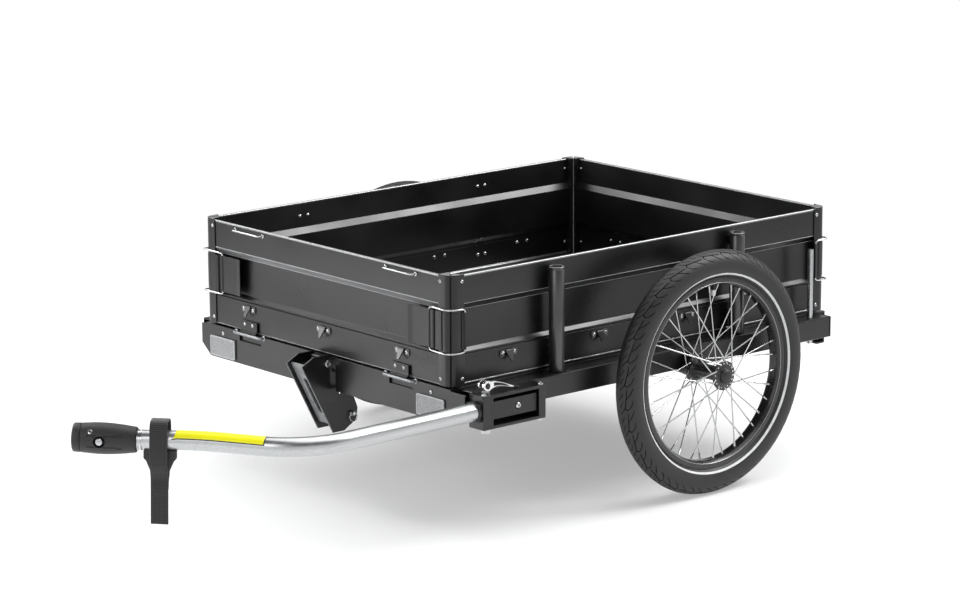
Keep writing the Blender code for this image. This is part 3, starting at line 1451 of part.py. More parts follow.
def build_hitch(back, drawbar_empty):
    """The coupling: a barrel with a socket in its front, a seam, grooves and a release button."""
    tip = Vector(HITCH_TIP)
    profile = [
        (0.0, HITCH_LENGTH),
        (HITCH_REAR_RADIUS - 0.0015, HITCH_LENGTH),
        (HITCH_REAR_RADIUS, HITCH_LENGTH - 0.0015),
        (HITCH_REAR_RADIUS + 0.0022, HITCH_LENGTH * 0.80),
        (HITCH_BELLY_RADIUS, HITCH_LENGTH * 0.50),
        (HITCH_BELLY_RADIUS - 0.0003, HITCH_LENGTH * 0.30),
        (HITCH_FRONT_RADIUS + 0.0010, HITCH_SEAM + 0.0012),
        (HITCH_FRONT_RADIUS - HITCH_SEAM_DEPTH, HITCH_SEAM + 0.0004),
        (HITCH_FRONT_RADIUS - HITCH_SEAM_DEPTH, HITCH_SEAM - 0.0004),
        (HITCH_FRONT_RADIUS + 0.0006, HITCH_SEAM - 0.0012),
        (HITCH_FRONT_RADIUS, 0.0015),
        (HITCH_FRONT_RADIUS - 0.0015, 0.0),
        (HITCH_SOCKET_RADIUS, 0.0),
        (HITCH_SOCKET_RADIUS - 0.0010, HITCH_SOCKET_DEPTH),
        (0.0, HITCH_SOCKET_DEPTH),
    ]
    hitch = turned("hitch_body", profile, tip, back, 28)
    tube_room = cylinder(
        "hitch_tube_room",
        tip + back * (HITCH_LENGTH - HITCH_TUBE_OVERLAP - SEAT_GAP),
        tip + back * (HITCH_LENGTH + 0.01),
        TUBE_RADIUS + SEAT_GAP,
        28,
    )
    facing = back.cross(UP).normalized() * -1.0
    if facing.x < 0:
        facing = -facing
    button_seat = tip + back * HITCH_BUTTON_STATION
    pocket_floor = HITCH_BELLY_RADIUS - HITCH_BUTTON_DEPTH - HITCH_BUTTON_TRAVEL
    button_room = cylinder(
        "hitch_button_room",
        button_seat + facing * (pocket_floor - SEAT_GAP),
        button_seat + facing * (HITCH_BELLY_RADIUS + 0.01),
        HITCH_BUTTON_RADIUS + RUNNING_GAP,
        16,
    )
    grooves = []
    for height in (-0.0085, 0.0085):
        start = tip + back * (HITCH_SEAM + 0.014) + UP * height
        lean = math.sqrt(HITCH_BELLY_RADIUS ** 2 - height ** 2)
        centre = start + back * HITCH_GROOVE_LENGTH / 2 + facing * lean
        outline = [
            (-HITCH_GROOVE_LENGTH / 2, -HITCH_GROOVE_WIDTH / 2),
            (HITCH_GROOVE_LENGTH / 2, -HITCH_GROOVE_WIDTH / 2),
            (HITCH_GROOVE_LENGTH / 2, HITCH_GROOVE_WIDTH / 2),
            (-HITCH_GROOVE_LENGTH / 2, HITCH_GROOVE_WIDTH / 2),
        ]
        upright = facing.cross(back)
        grooves.append(
            extruded("hitch_groove" + str(height), outline, 2 * HITCH_GROOVE_DEPTH, centre, back, upright)
        )
    cut(hitch, tube_room, button_room, merged("hitch_grooves", grooves))
    place(hitch, BLACK_PLASTIC)
    carry(hitch, drawbar_empty)

    button_empty = joint_empty(
        "hitch_button_slide", button_seat + facing * HITCH_BELLY_RADIUS, drawbar_empty
    )
    button = cylinder(
        "hitch_button",
        button_seat + facing * (HITCH_BELLY_RADIUS - HITCH_BUTTON_DEPTH),
        button_seat + facing * (HITCH_BELLY_RADIUS + HITCH_BUTTON_PROUD),
        HITCH_BUTTON_RADIUS,
        16,
    )
    place(button, STEEL_WIRE)
    carry(button, button_empty)


def build_strap(back, drawbar_empty):
    """The safety strap looped over the drawbar, and the keeper that spaces its two layers."""
    hang_point = Vector(HITCH_TIP) + back * STRAP_STATION
    strap_empty = joint_empty("strap_swing", hang_point, drawbar_empty)
    sideways = back.cross(UP).normalized()
    if sideways.x < 0:
        sideways = -sideways
    upright = sideways.cross(back).normalized()
    if upright.z < 0:
        upright = -upright
    half = STRAP_LOOP_HALF
    top = STRAP_LOOP_TOP
    join = -(KEEPER_BOTTOM + STRAP_JOIN_DROP)
    route = [
        (half * 0.29, -STRAP_TAIL),
        (half * 0.34, join * 1.18),
        (half * 0.42, join),
        (half * 0.86, join * 0.62),
        (half, -top * 0.37),
        (half, top * 0.37),
        (half * 0.93, top * 0.74),
        (half * 0.72, top * 0.93),
        (half * 0.35, top),
        (-half * 0.35, top),
        (-half * 0.72, top * 0.93),
        (-half * 0.93, top * 0.74),
        (-half, top * 0.37),
        (-half, -top * 0.37),
        (-half * 0.86, join * 0.62),
        (-half * 0.225, join * 0.985),
        (half * 0.055, join * 1.11),
        (half * 0.170, join * 1.36),
    ]
    mesh = bpy.data.meshes.new("safety_strap")
    shape = bmesh.new()
    edge_place = -back * STRAP_WIDTH / 2
    line = [shape.verts.new(sideways * across + upright * height + edge_place) for across, height in route]
    edges = [shape.edges.new(pair) for pair in zip(line, line[1:])]
    swept = bmesh.ops.extrude_edge_only(shape, edges=edges)
    moved = [item for item in swept["geom"] if isinstance(item, bmesh.types.BMVert)]
    bmesh.ops.translate(shape, vec=back * STRAP_WIDTH, verts=moved)
    shape.to_mesh(mesh)
    shape.free()
    strap = bpy.data.objects.new("safety_strap", mesh)
    strap.location = hang_point
    modifier = strap.modifiers.new("Webbing thickness", "SOLIDIFY")
    modifier.thickness = STRAP_THICKNESS
    modifier.offset = 0.0
    place(strap, WEBBING)
    carry(strap, strap_empty)

    top = KEEPER_TOP_LENGTH / 2
    neck = STRAP_WIDTH / 2 + 0.001
    outline = [
        (-top, -0.0090),
        (-top, -KEEPER_SHOULDER + 0.004),
        (-top + 0.004, -KEEPER_SHOULDER),
        (-neck, -KEEPER_BOTTOM),
        (neck, -KEEPER_BOTTOM),
        (top - 0.004, -KEEPER_SHOULDER),
        (top, -KEEPER_SHOULDER + 0.004),
        (top, -0.0090),
    ]
    keeper = extruded("strap_keeper", outline, KEEPER_THICKNESS, hang_point, back, upright)
    saddle = cylinder(
        "keeper_saddle",
        hang_point - back * KEEPER_TOP_LENGTH,
        hang_point + back * KEEPER_TOP_LENGTH,
        TUBE_RADIUS + SEAT_GAP,
        28,
    )
    place(cut(keeper, saddle), BLACK_PLASTIC)
    carry(keeper, strap_empty)


# Cradle, reflectors and flag tube
def build_cradle():
    """A leaning channel, open to the front, with a slotted web, that pivots on a lug of the beam."""
    cradle_empty = joint_empty("cradle_pivot", (0.0, *CRADLE_PIVOT))
    nose, toe = Vector(CRADLE_NOSE), Vector(CRADLE_TOE)
    lean = (toe - nose).normalized()
    square = Vector((-lean.y, lean.x))
    shoulder = nose + square * ((CRADLE_TOP - nose.y) / square.y)
    outline = [
        CRADLE_NOSE,
        tuple(shoulder),
        CRADLE_CREST,
        CRADLE_NECK,
        CRADLE_SHOULDER,
        CRADLE_WAIST,
        CRADLE_BACK_HIGH,
        CRADLE_BACK_LOW,
        CRADLE_HEEL,
        CRADLE_TOE,
    ]
    offset = CRADLE_HALF_WIDTH - CRADLE_PLATE / 2
    plates = [
        extruded("cradle_plate" + str(side), outline, CRADLE_PLATE, (side * offset, 0.0, 0.0), ALONG, UP)
        for side in (-1, 1)
    ]
    length = (toe - nose).length
    near, far = CRADLE_WEB_SETBACK, CRADLE_WEB_SETBACK + CRADLE_WEB
    web_outline = [
        tuple(nose + square * near + lean * 0.004),
        tuple(nose + square * far + lean * 0.004),
        tuple(nose + square * far + lean * (length - 0.010)),
        tuple(nose + square * near + lean * (length - 0.010)),
    ]
    web = extruded(
        "front_cradle", web_outline, 2 * CRADLE_HALF_WIDTH - CRADLE_PLATE, (0.0, 0.0, 0.0), ALONG, UP
    )
    pin_reach = CRADLE_HALF_WIDTH + CRADLE_PIN_PROUD
    pin = cylinder(
        "cradle_pin",
        (-pin_reach, *CRADLE_PIN),
        (pin_reach, *CRADLE_PIN),
        CRADLE_PIN_RADIUS,
        12,
    )
    join(web, merged("cradle_plates", plates), pin)
    slot_centre = nose + square * (near + far) / 2 + lean * length * 0.52
    half_slot, half_width = CRADLE_SLOT_LENGTH / 2, CRADLE_SLOT_WIDTH / 2
    slot_outline = arc_points((half_slot - half_width, 0.0), half_width, -90.0, 90.0, 6)
    slot_outline += arc_points((-half_slot + half_width, 0.0), half_width, 90.0, 270.0, 6)
    slot = extruded(
        "cradle_slot",
        slot_outline,
        CRADLE_WEB * 3,
        (0.0, slot_centre.x, slot_centre.y),
        Vector((0.0, lean.x, lean.y)),
        ACROSS,
    )
    pivot_hole = cylinder(
        "cradle_pivot_hole",
        (-CRADLE_HALF_WIDTH * 2, *CRADLE_PIVOT),
        (CRADLE_HALF_WIDTH * 2, *CRADLE_PIVOT),
        CRADLE_BOLT_RADIUS + RUNNING_GAP,
        16,
    )
    place(cut(web, slot, pivot_hole), BLACK_STEEL)
    carry(web, cradle_empty)


def build_reflectors():
    for side_name, side in SIDES:
        face = BOX_FRONT - SEAT_GAP
        centre = side * REFLECTOR_X
        low = REFLECTOR_Z - REFLECTOR_HEIGHT / 2
        plate = box(
            "front_reflector_" + side_name,
            (centre - REFLECTOR_WIDTH / 2, face - REFLECTOR_THICKNESS, low),
            (centre + REFLECTOR_WIDTH / 2, face, low + REFLECTOR_HEIGHT),
            bevel=0.0008,
        )
        place(plate, REFLECTOR_PLATE)


def build_flag_tube():
    tube = cylinder(
        "flag_tube",
        (FLAG_TUBE_X, FLAG_TUBE_Y, FLAG_TUBE_BOTTOM),
        (FLAG_TUBE_X, FLAG_TUBE_Y, FLAG_TUBE_TOP),
        FLAG_TUBE_RADIUS,
        16,
    )
    bore = cylinder(
        "flag_tube_bore",
        (FLAG_TUBE_X, FLAG_TUBE_Y, FLAG_TUBE_BOTTOM - 0.01),
        (FLAG_TUBE_X, FLAG_TUBE_Y, FLAG_TUBE_TOP + 0.01),
        FLAG_TUBE_BORE,
        16,
    )
    place(cut(tube, bore), RAW_ALUMINIUM)


build_rails()
for beam_name, beam_end in ENDS:
    build_cross_beam(beam_name, beam_end)
build_bearers()
build_floor()
build_axle()
build_side_panels()
for panel_name, panel_end in ENDS:
    panel_hinge = joint_empty(
        panel_name + "_panel_hinge",
        (0.0, end_face(panel_end) + panel_end * HINGE_OFFSET, HINGE_HEIGHT),
    )
    build_end_panel(panel_name, panel_end, panel_hinge)
    for corner_side_name, corner_side in SIDES:
        build_corner(panel_name, panel_end, corner_side_name, corner_side, panel_hinge)
        build_latch(panel_name, panel_end, corner_side_name, corner_side, panel_hinge)
build_stakes()
for wheel_name, wheel_side in SIDES:
    build_wheel(wheel_name, wheel_side)
build_bracket()
build_quick_release()
build_drawbar()
build_cradle()
build_reflectors()
build_flag_tube()
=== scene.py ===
import math

import bmesh
import bpy
from mathutils import Matrix, Vector, geometry


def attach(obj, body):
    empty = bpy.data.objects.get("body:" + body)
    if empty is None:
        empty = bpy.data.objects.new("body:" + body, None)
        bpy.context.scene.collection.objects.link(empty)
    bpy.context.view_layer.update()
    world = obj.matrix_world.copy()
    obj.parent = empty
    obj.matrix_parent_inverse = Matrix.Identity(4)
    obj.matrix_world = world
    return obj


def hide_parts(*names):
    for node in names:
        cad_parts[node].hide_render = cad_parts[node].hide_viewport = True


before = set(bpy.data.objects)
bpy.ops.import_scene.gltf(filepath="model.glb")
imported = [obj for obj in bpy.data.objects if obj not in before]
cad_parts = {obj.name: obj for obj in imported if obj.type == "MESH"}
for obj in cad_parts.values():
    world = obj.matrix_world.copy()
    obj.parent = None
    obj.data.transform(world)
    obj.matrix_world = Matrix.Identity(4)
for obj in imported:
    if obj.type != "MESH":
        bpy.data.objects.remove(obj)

# Studio
# A white sweep under six soft boxes, seen through a long lens from the trailer's front left.
# Mesh places below are measured from the wheel axle; AXLE_Y carries them into the CAD frame.
AXLE_Y = 0.3447


def srgb(colour, strength=1.0):
    """A hex colour as linear values."""
    channels = [int(colour[index:index + 2], 16) / 255 for index in (1, 3, 5)]
    linear = [c / 12.92 if c <= 0.04045 else ((c + 0.055) / 1.055) ** 2.4 for c in channels]
    return (*[value * strength for value in linear], 1.0)


def add_node(tree, kind, settings=None, values=None, links=None):
    """Add a node, set it up, fill its sockets and join it to what feeds it."""
    node = tree.nodes.new(kind)
    for name, value in (settings or {}).items():
        setattr(node, name, value)
    for socket, value in (values or {}).items():
        node.inputs[socket].default_value = value
    for socket, source in (links or {}).items():
        tree.links.new(source, node.inputs[socket])
    return node


scene = bpy.context.scene
scene.view_settings.view_transform = "Standard"
for leftover in ("Cube", "Light", "Camera"):
    if leftover in bpy.data.objects:
        bpy.data.objects.remove(bpy.data.objects[leftover], do_unlink=True)
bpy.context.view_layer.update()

AZIMUTH, ELEVATION, ROLL = math.radians(49.2791), math.radians(12.6613), math.radians(-0.2722)
CAMERA_PLACE = (4.56002, -4.07654 + AXLE_Y, 1.63068)
back = Vector((math.sin(AZIMUTH) * math.cos(ELEVATION), -math.cos(AZIMUTH) * math.cos(ELEVATION),
               math.sin(ELEVATION)))
level = Vector((math.cos(AZIMUTH), math.sin(AZIMUTH), 0.0))
upward = back.cross(level)
right = level * math.cos(ROLL) + upward * math.sin(ROLL)
above = upward * math.cos(ROLL) - level * math.sin(ROLL)
camera_data = bpy.data.cameras.new("studio_camera")
camera_data.sensor_width = 36.0
camera_data.lens = 138.137
camera_data.clip_end = 60.0
camera = bpy.data.objects.new("studio_camera", camera_data)
camera.matrix_world = Matrix.Translation(CAMERA_PLACE) @ Matrix((right, above, back)).transposed().to_4x4()
scene.collection.objects.link(camera)
scene.camera = camera


def softbox(name, position, aim, width, height, power):
    """A rectangular studio light that faces a point."""
    light = bpy.data.lights.new(name, "AREA")
    light.shape = "RECTANGLE"
    light.size = width
    light.size_y = height
    light.energy = power
    lamp = bpy.data.objects.new(name, light)
    lamp.location = position
    lamp.rotation_euler = (Vector(aim) - Vector(position)).to_track_quat("-Z", "Y").to_euler()
    scene.collection.objects.link(lamp)


softbox("overhead_softbox", (0.1, 1.0, 2.9), (0.0, 0.4, 0.0), 4.2, 3.4, 86.0)
softbox("rear_left_softbox", (1.20, 2.15, 2.20), (0.1, 0.3, 0.3), 1.5, 1.1, 58.0)
softbox("right_softbox", (-1.50, -0.38, 1.45), (0.0, 0.45, 0.35), 0.8, 0.7, 13.0)
softbox("low_front_softbox", (-1.15, -1.85, 0.45), (0.25, -0.45, 0.25), 1.1, 0.6, 5.0)
softbox("floor_softbox", (-0.70, -1.10, 0.62), (-0.70, -1.099, 0.0), 0.9, 0.6, 12.0)
softbox("front_softbox", (1.2, -3.6, 2.2), (0.1, -0.1, 0.2), 2.4, 1.6, 30.0)

world = bpy.data.worlds.new("white_studio")
world.use_nodes = True
scene.world = world
tree = world.node_tree
tree.nodes.clear()


def seen_directly(tree):
    """Light Path's camera, glossy and transmission rays together, and the camera ray alone."""
    ray = add_node(tree, "ShaderNodeLightPath")
    seen = add_node(tree, "ShaderNodeMath", {"operation": "MAXIMUM"},
                    links={0: ray.outputs["Is Camera Ray"], 1: ray.outputs["Is Glossy Ray"]})
    seen = add_node(tree, "ShaderNodeMath", {"operation": "MAXIMUM"},
                    links={0: seen.outputs[0], 1: ray.outputs["Is Transmission Ray"]})
    return seen.outputs[0], ray.outputs["Is Camera Ray"]


# White round the horizon; in reflections the studio falls off to a dim ceiling and a greyer far floor.
seen, direct = seen_directly(tree)
way = add_node(tree, "ShaderNodeTexCoord").outputs["Generated"]
height = add_node(tree, "ShaderNodeSeparateXYZ", links={0: way}).outputs["Z"]
ceiling = add_node(tree, "ShaderNodeMapRange", {"interpolation_type": "SMOOTHSTEP"},
                   {"From Min": 0.06, "From Max": 0.52, "To Min": 1.0, "To Max": 0.12}, {"Value": height})
under = add_node(tree, "ShaderNodeMapRange", {"interpolation_type": "SMOOTHSTEP"},
                 {"From Min": -0.16, "From Max": -0.02, "To Min": 0.62, "To Max": 1.0}, {"Value": height})
dimmed = add_node(tree, "ShaderNodeMath", {"operation": "MULTIPLY"},
                  links={0: ceiling.outputs[0], 1: under.outputs[0]})
strength = add_node(tree, "ShaderNodeMath", {"operation": "MAXIMUM"}, links={0: direct, 1: dimmed.outputs[0]})
fill = add_node(tree, "ShaderNodeBackground", values={"Color": srgb("#f4f6fa"), "Strength": 0.36})
white = add_node(tree, "ShaderNodeBackground", values={"Color": (1.0, 1.0, 1.0, 1.0)},
                 links={"Strength": strength.outputs[0]})
mixed = add_node(tree, "ShaderNodeMixShader", links={0: seen, 1: fill.outputs[0], 2: white.outputs[0]})
add_node(tree, "ShaderNodeOutputWorld", links={"Surface": mixed.outputs[0]})


def start_material(name, roughness, metallic=0.0, ior=1.5):
    """A new material with its tree, its shader and its Object coordinates."""
    material = bpy.data.materials.new(name)
    material.use_nodes = True
    tree = material.node_tree
    shader = tree.nodes["Principled BSDF"]
    shader.inputs["Roughness"].default_value = roughness
    shader.inputs["Metallic"].default_value = metallic
    shader.inputs["IOR"].default_value = ior
    place = add_node(tree, "ShaderNodeTexCoord").outputs["Object"]
    return material, tree, shader, place


def noise(tree, place, scale, detail=2.0):
    """A cloudy pattern; its blotches are about 1 / scale metres across."""
    return add_node(tree, "ShaderNodeTexNoise", values={"Scale": scale, "Detail": detail},
                    links={"Vector": place}).outputs["Fac"]


def two_tones(tree, shader, first, second, pattern):
    """Colour the surface between two hex colours by a pattern."""
    tone = add_node(tree, "ShaderNodeMix", {"data_type": "RGBA"}, {6: srgb(first), 7: srgb(second)}, {0: pattern})
    tree.links.new(tone.outputs[2], shader.inputs["Base Color"])


# The sweep: matt white card that fades into the white background two metres out.
sweep_card, tree, shader, place = start_material("matt_white_card", 0.9)
tone = noise(tree, place, 1.5)
two_tones(tree, shader, "#f6f6f6", "#fafafa", tone)
shader.inputs["Specular IOR Level"].default_value = 0.1
reach = add_node(tree, "ShaderNodeVectorMath", {"operation": "LENGTH"}, links={0: place})
fade = add_node(tree, "ShaderNodeMapRange", {"interpolation_type": "SMOOTHSTEP"},
                {"From Min": 1.0, "From Max": 2.3}, {"Value": reach.outputs["Value"]})
clear = add_node(tree, "ShaderNodeBsdfTransparent")
# Seen directly the card is part white itself, so that the shadow on it stays pale.
glow = add_node(tree, "ShaderNodeEmission", values={"Color": (1.0, 1.0, 1.0, 1.0), "Strength": 1.0})
part = add_node(tree, "ShaderNodeMath", {"operation": "MULTIPLY"}, {1: 0.35}, {0: seen_directly(tree)[0]})
lit = add_node(tree, "ShaderNodeMixShader", links={0: part.outputs[0], 1: shader.outputs[0], 2: glow.outputs[0]})
mixed = add_node(tree, "ShaderNodeMixShader",
                 links={0: fade.outputs[0], 1: lit.outputs[0], 2: clear.outputs[0]})
tree.links.new(mixed.outputs[0], tree.nodes["Material Output"].inputs["Surface"])
shape = bmesh.new()
bmesh.ops.create_circle(shape, cap_ends=True, segments=64, radius=3.0)
mesh = bpy.data.meshes.new("studio_floor")
shape.to_mesh(mesh)
shape.free()
mesh.materials.append(sweep_card)
floor = bpy.data.objects.new("studio_floor", mesh)
scene.collection.objects.link(floor)

# Side rails
# Square aluminium tubes, black powder coated, that carry the box and the axle.
# They are sawn to length, notched for the axle and closed at the rear with plastic caps.


def add_bump(tree, shader, heights, distance, strength=1.0):
    """Let a height pattern raise the surface by a distance in metres."""
    bump = add_node(tree, "ShaderNodeBump", values={"Distance": distance, "Strength": strength},
                    links={"Height": heights})
    tree.links.new(bump.outputs["Normal"], shader.inputs["Normal"])


def vary_roughness(tree, shader, low, high, pattern, start=0.0, end=1.0):
    """Let a pattern between start and end set the roughness between low and high."""
    rough = add_node(tree, "ShaderNodeMapRange",
                     values={"From Min": start, "From Max": end, "To Min": low, "To Max": high},
                     links={"Value": pattern})
    tree.links.new(rough.outputs[0], shader.inputs["Roughness"])


# Powder coat on aluminium: a satin black skin with a slight orange peel, a little dustier in places.
# The peel is about 1 mm across and is drawn at 2.5 mm so that it shows.
powder_coat, tree, shader, place = start_material("black_powder_coat", 0.33, ior=1.56)
dust = noise(tree, place, 9.0, 4.0)
two_tones(tree, shader, "#050506", "#0c0c0d", dust)
vary_roughness(tree, shader, 0.26, 0.40, dust, 0.3, 0.7)
peel = noise(tree, place, 400.0)
add_bump(tree, shader, peel, 0.00006, 0.6)

# Moulded nylon: matt black with a fine spark-eroded grain, drawn at 2 mm so that it shows.
moulded_nylon, tree, shader, place = start_material("black_moulded_nylon", 0.50, ior=1.53)
cloud = noise(tree, place, 30.0, 3.0)
two_tones(tree, shader, "#18181a", "#232325", cloud)
grain = add_node(tree, "ShaderNodeTexVoronoi", values={"Scale": 520.0}, links={"Vector": place})
vary_roughness(tree, shader, 0.44, 0.58, grain.outputs["Distance"])
add_bump(tree, shader, grain.outputs["Distance"], 0.00012, 0.7)


def coat_node(node, material):
    """Give a CAD node that keeps its shape a better material."""
    for material_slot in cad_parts[node].material_slots:
        material_slot.material = material


SIDES = (("left", 1), ("right", -1))
ENDS = (("front", -1), ("rear", 1))
for side_name, side in SIDES:
    coat_node("side_rail_" + side_name, powder_coat)
    coat_node("rail_cap_" + side_name, moulded_nylon)

# Axle and floor bearers
# A painted steel cross tube takes both wheel pins; two aluminium box sections hold up the floor.
# They are welded between the rails, under the board.

# Wet paint on steel: a little glossier than the powder coat, with soft runs.
steel_paint, tree, shader, place = start_material("black_steel_paint", 0.30, ior=1.55)
runs = noise(tree, place, 45.0, 3.0)
two_tones(tree, shader, "#08080a", "#111113", runs)
vary_roughness(tree, shader, 0.22, 0.38, runs)
add_bump(tree, shader, runs, 0.0003, 0.4)

# Zinc-plated steel: bright and slightly blue, with faint turning marks.
zinc_plate, tree, shader, place = start_material("zinc_plated_steel", 0.22, 1.0)
marks = noise(tree, place, 260.0, 3.0)
two_tones(tree, shader, "#aeb0b2", "#d2d3d4", marks)
vary_roughness(tree, shader, 0.14, 0.32, marks)
add_bump(tree, shader, marks, 0.00005, 0.5)

coat_node("axle_tube", steel_paint)
for side_name, side in SIDES:
    coat_node("axle_pin_" + side_name, zinc_plate)
for end_name, end in ENDS:
    coat_node("floor_bearer_" + end_name, powder_coat)

# Floor board
# Birch plywood with a phenolic film on both faces, 4 mm thick and notched round the corner posts.
# The film is nearly black, with the fine hexagon of the press plate's non-slip side.
film_faced_plywood, tree, shader, place = start_material("film_faced_plywood", 0.5, ior=1.55)
streak = add_node(tree, "ShaderNodeMapping", values={"Scale": (4.0, 60.0, 4.0)}, links={"Vector": place})
streak = noise(tree, streak.outputs[0], 1.0, 4.0)
two_tones(tree, shader, "#0d0c0b", "#171514", streak)
press = add_node(tree, "ShaderNodeTexVoronoi", {"feature": "DISTANCE_TO_EDGE"},
                 {"Scale": 180.0, "Randomness": 0.15}, {"Vector": place})
ridge = add_node(tree, "ShaderNodeMapRange", values={"From Max": 0.12}, links={"Value": press.outputs["Distance"]})
vary_roughness(tree, shader, 0.62, 0.42, ridge.outputs[0])
add_bump(tree, shader, ridge.outputs[0], -0.0002, 0.8)
coat_node("floor_board", film_faced_plywood)

# Cross beams
# Folded aluminium channels, open inwards, bolted across the rail ends and powder coated black.
# Slots punched at the hinges let the panels' leaves swing; a steel bow bent from 4.8 mm rod fills each.
BOX_HALF_WIDTH = 0.318
BOX_FRONT = -0.486
BOX_REAR = 0.348
RAIL_OUTER = 0.3515
RAIL_INNER = RAIL_OUTER - 0.0338
CHANNEL_DEPTH = 0.0185
CHANNEL_TOP = 0.2384
CHANNEL_BOTTOM = 0.183
HINGE_X = 0.196
BOW_SPAN = 0.074
ACROSS = Vector((1.0, 0.0, 0.0))
ALONG = Vector((0.0, 1.0, 0.0))
UP = Vector((0.0, 0.0, 1.0))


def drawn(corners, length, origin, first, second):
    """A prism from an outline in the plane of two axes; a corner's third number is its rounding."""
    shape = bmesh.new()
    origin, first, second = Vector(origin), Vector(first), Vector(second)
    points = [shape.verts.new(origin + first * corner[0] + second * corner[1]) for corner in corners]
    shape.faces.new(points)
    for corner, point in zip(corners, points):
        if len(corner) > 2:
            bmesh.ops.bevel(shape, geom=[point], offset=corner[2], offset_type="OFFSET", affect="VERTICES",
                            segments=4, profile=0.5, material=-1)
    swept = bmesh.ops.extrude_face_region(shape, geom=list(shape.faces))
    reach = first.cross(second).normalized() * length
    bmesh.ops.translate(shape, vec=reach, verts=[v for v in swept["geom"] if isinstance(v, bmesh.types.BMVert)])
    bmesh.ops.translate(shape, vec=-reach / 2, verts=shape.verts)
    return shape


def block(corner, opposite):
    """A rectangular solid between two opposite corners."""
    low, high = (Vector([pick(pair) for pair in zip(corner, opposite)]) for pick in (min, max))
    shape = bmesh.new()
    bmesh.ops.create_cube(shape, size=1.0)
    bmesh.ops.scale(shape, vec=high - low, verts=shape.verts)
    bmesh.ops.translate(shape, vec=(low + high) / 2, verts=shape.verts)
    return shape


def spun(profile, origin, axis, steps, closed=False):
    """A turned solid from (radius, height) points about an axis through the origin."""
    shape = bmesh.new()
    ring = [shape.verts.new((radius, 0.0, height)) for radius, height in profile]
    pairs = list(zip(ring, ring[1:])) + ([(ring[-1], ring[0])] if closed else [])
    edges = [shape.edges.new(pair) for pair in pairs]
    bmesh.ops.spin(shape, geom=ring + edges, cent=(0, 0, 0), axis=(0, 0, 1), angle=math.tau,
                   steps=steps, use_merge=True)
    bmesh.ops.remove_doubles(shape, verts=shape.verts, dist=0.00001)
    turn = Vector(axis).to_track_quat("Z", "Y").to_matrix()
    bmesh.ops.rotate(shape, cent=(0, 0, 0), matrix=turn, verts=shape.verts)
    bmesh.ops.translate(shape, vec=origin, verts=shape.verts)
    return shape


def rod(points, radius, sides=12, cyclic=False):
    """A bent round bar: a circle pushed along its points, mitred at each."""
    points = [Vector(point) for point in points]
    count = len(points)
    shape = bmesh.new()
    rings = []
    before = None
    for index, point in enumerate(points):
        if cyclic:
            ahead = (points[(index + 1) % count] - points[index - 1]).normalized()
        else:
            ahead = (points[min(index + 1, count - 1)] - points[max(index - 1, 0)]).normalized()
        if before is None:
            turn = ahead.to_track_quat("Z", "Y")
        else:
            turn = before.rotation_difference(ahead) @ turn
        before = ahead
        place_in_world = Matrix.Translation(point) @ turn.to_matrix().to_4x4()
        ring = bmesh.ops.create_circle(shape, segments=sides, radius=radius, matrix=place_in_world,
                                       cap_ends=not cyclic and index in (0, count - 1))["verts"]
        rings.append(ring)
    pairs = list(zip(rings, rings[1:])) + ([(rings[-1], rings[0])] if cyclic else [])
    for ring, following in pairs:
        edges = [edge for verts in (ring, following) for edge in {e for v in verts for e in v.link_edges}
                 if edge.verts[0] in verts and edge.verts[1] in verts]
        bmesh.ops.bridge_loops(shape, edges=list(dict.fromkeys(edges)))
    return shape


def together(*shapes):
    """Several closed shapes as one mesh."""
    whole = bmesh.new()
    for shape in shapes:
        mesh = bpy.data.meshes.new("part_of_piece")
        bmesh.ops.recalc_face_normals(shape, faces=shape.faces)
        shape.to_mesh(mesh)
        shape.free()
        whole.from_mesh(mesh)
        bpy.data.meshes.remove(mesh)
    return whole


def finished(name, shape, materials, body, replaces=(), soften=0.0, angle=35.0):
    """Turn a bmesh into a piece that rides on its body; with soften its sharp edges are broken, else they are
    shaded sharp.
    """
    bmesh.ops.remove_doubles(shape, verts=shape.verts, dist=0.00001)
    bmesh.ops.recalc_face_normals(shape, faces=shape.faces)
    bmesh.ops.translate(shape, vec=(0.0, AXLE_Y, 0.0), verts=shape.verts)
    mesh = bpy.data.meshes.new(name)
    shape.to_mesh(mesh)
    shape.free()
    for material in materials:
        mesh.materials.append(material)
    mesh.shade_smooth()
    piece = bpy.data.objects.new(name, mesh)
    scene.collection.objects.link(piece)
    if soften:
        bevel = piece.modifiers.new("Broken edges", "BEVEL")
        bevel.width = soften
        bevel.segments = 2
        bevel.limit_method = "ANGLE"
        bevel.angle_limit = math.radians(angle)
        bevel.harden_normals = True
    else:
        mesh.set_sharp_from_angle(angle=math.radians(angle))
    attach(piece, body)
    if replaces:
        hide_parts(*replaces)
    return piece


def button_screw(centre, outward, radius=0.0033, height=0.0021):
    """The domed head of a screw or rivet, with its drive recess."""
    return spun([(0.0, height * 0.35), (radius * 0.30, height * 0.35), (radius * 0.40, height),
                 (radius * 0.72, height * 0.86), (radius * 0.95, height * 0.45), (radius, 0.0),
                 (radius, -0.0006), (0.0, -0.0006)], centre, outward, 16)


def bow_route(centre, face, end, height, stand=0.0075):
    """The line of a rod whose ends turn back into a face."""
    half = BOW_SPAN / 2
    route = []
    for side in (-1, 1):
        arm = [(centre + side * half, face - end * 0.002, height),
               (centre + side * half, face + end * (stand - 0.0055), height)]
        for step in range(1, 6):
            turn = math.radians(15.0 * step + 7.5)
            arm.append((centre + side * (half - 0.0055 * (1 - math.cos(turn))),
                        face + end * (stand - 0.0055 + 0.0055 * math.sin(turn)), height))
        route += arm if side < 0 else arm[::-1]
    return route


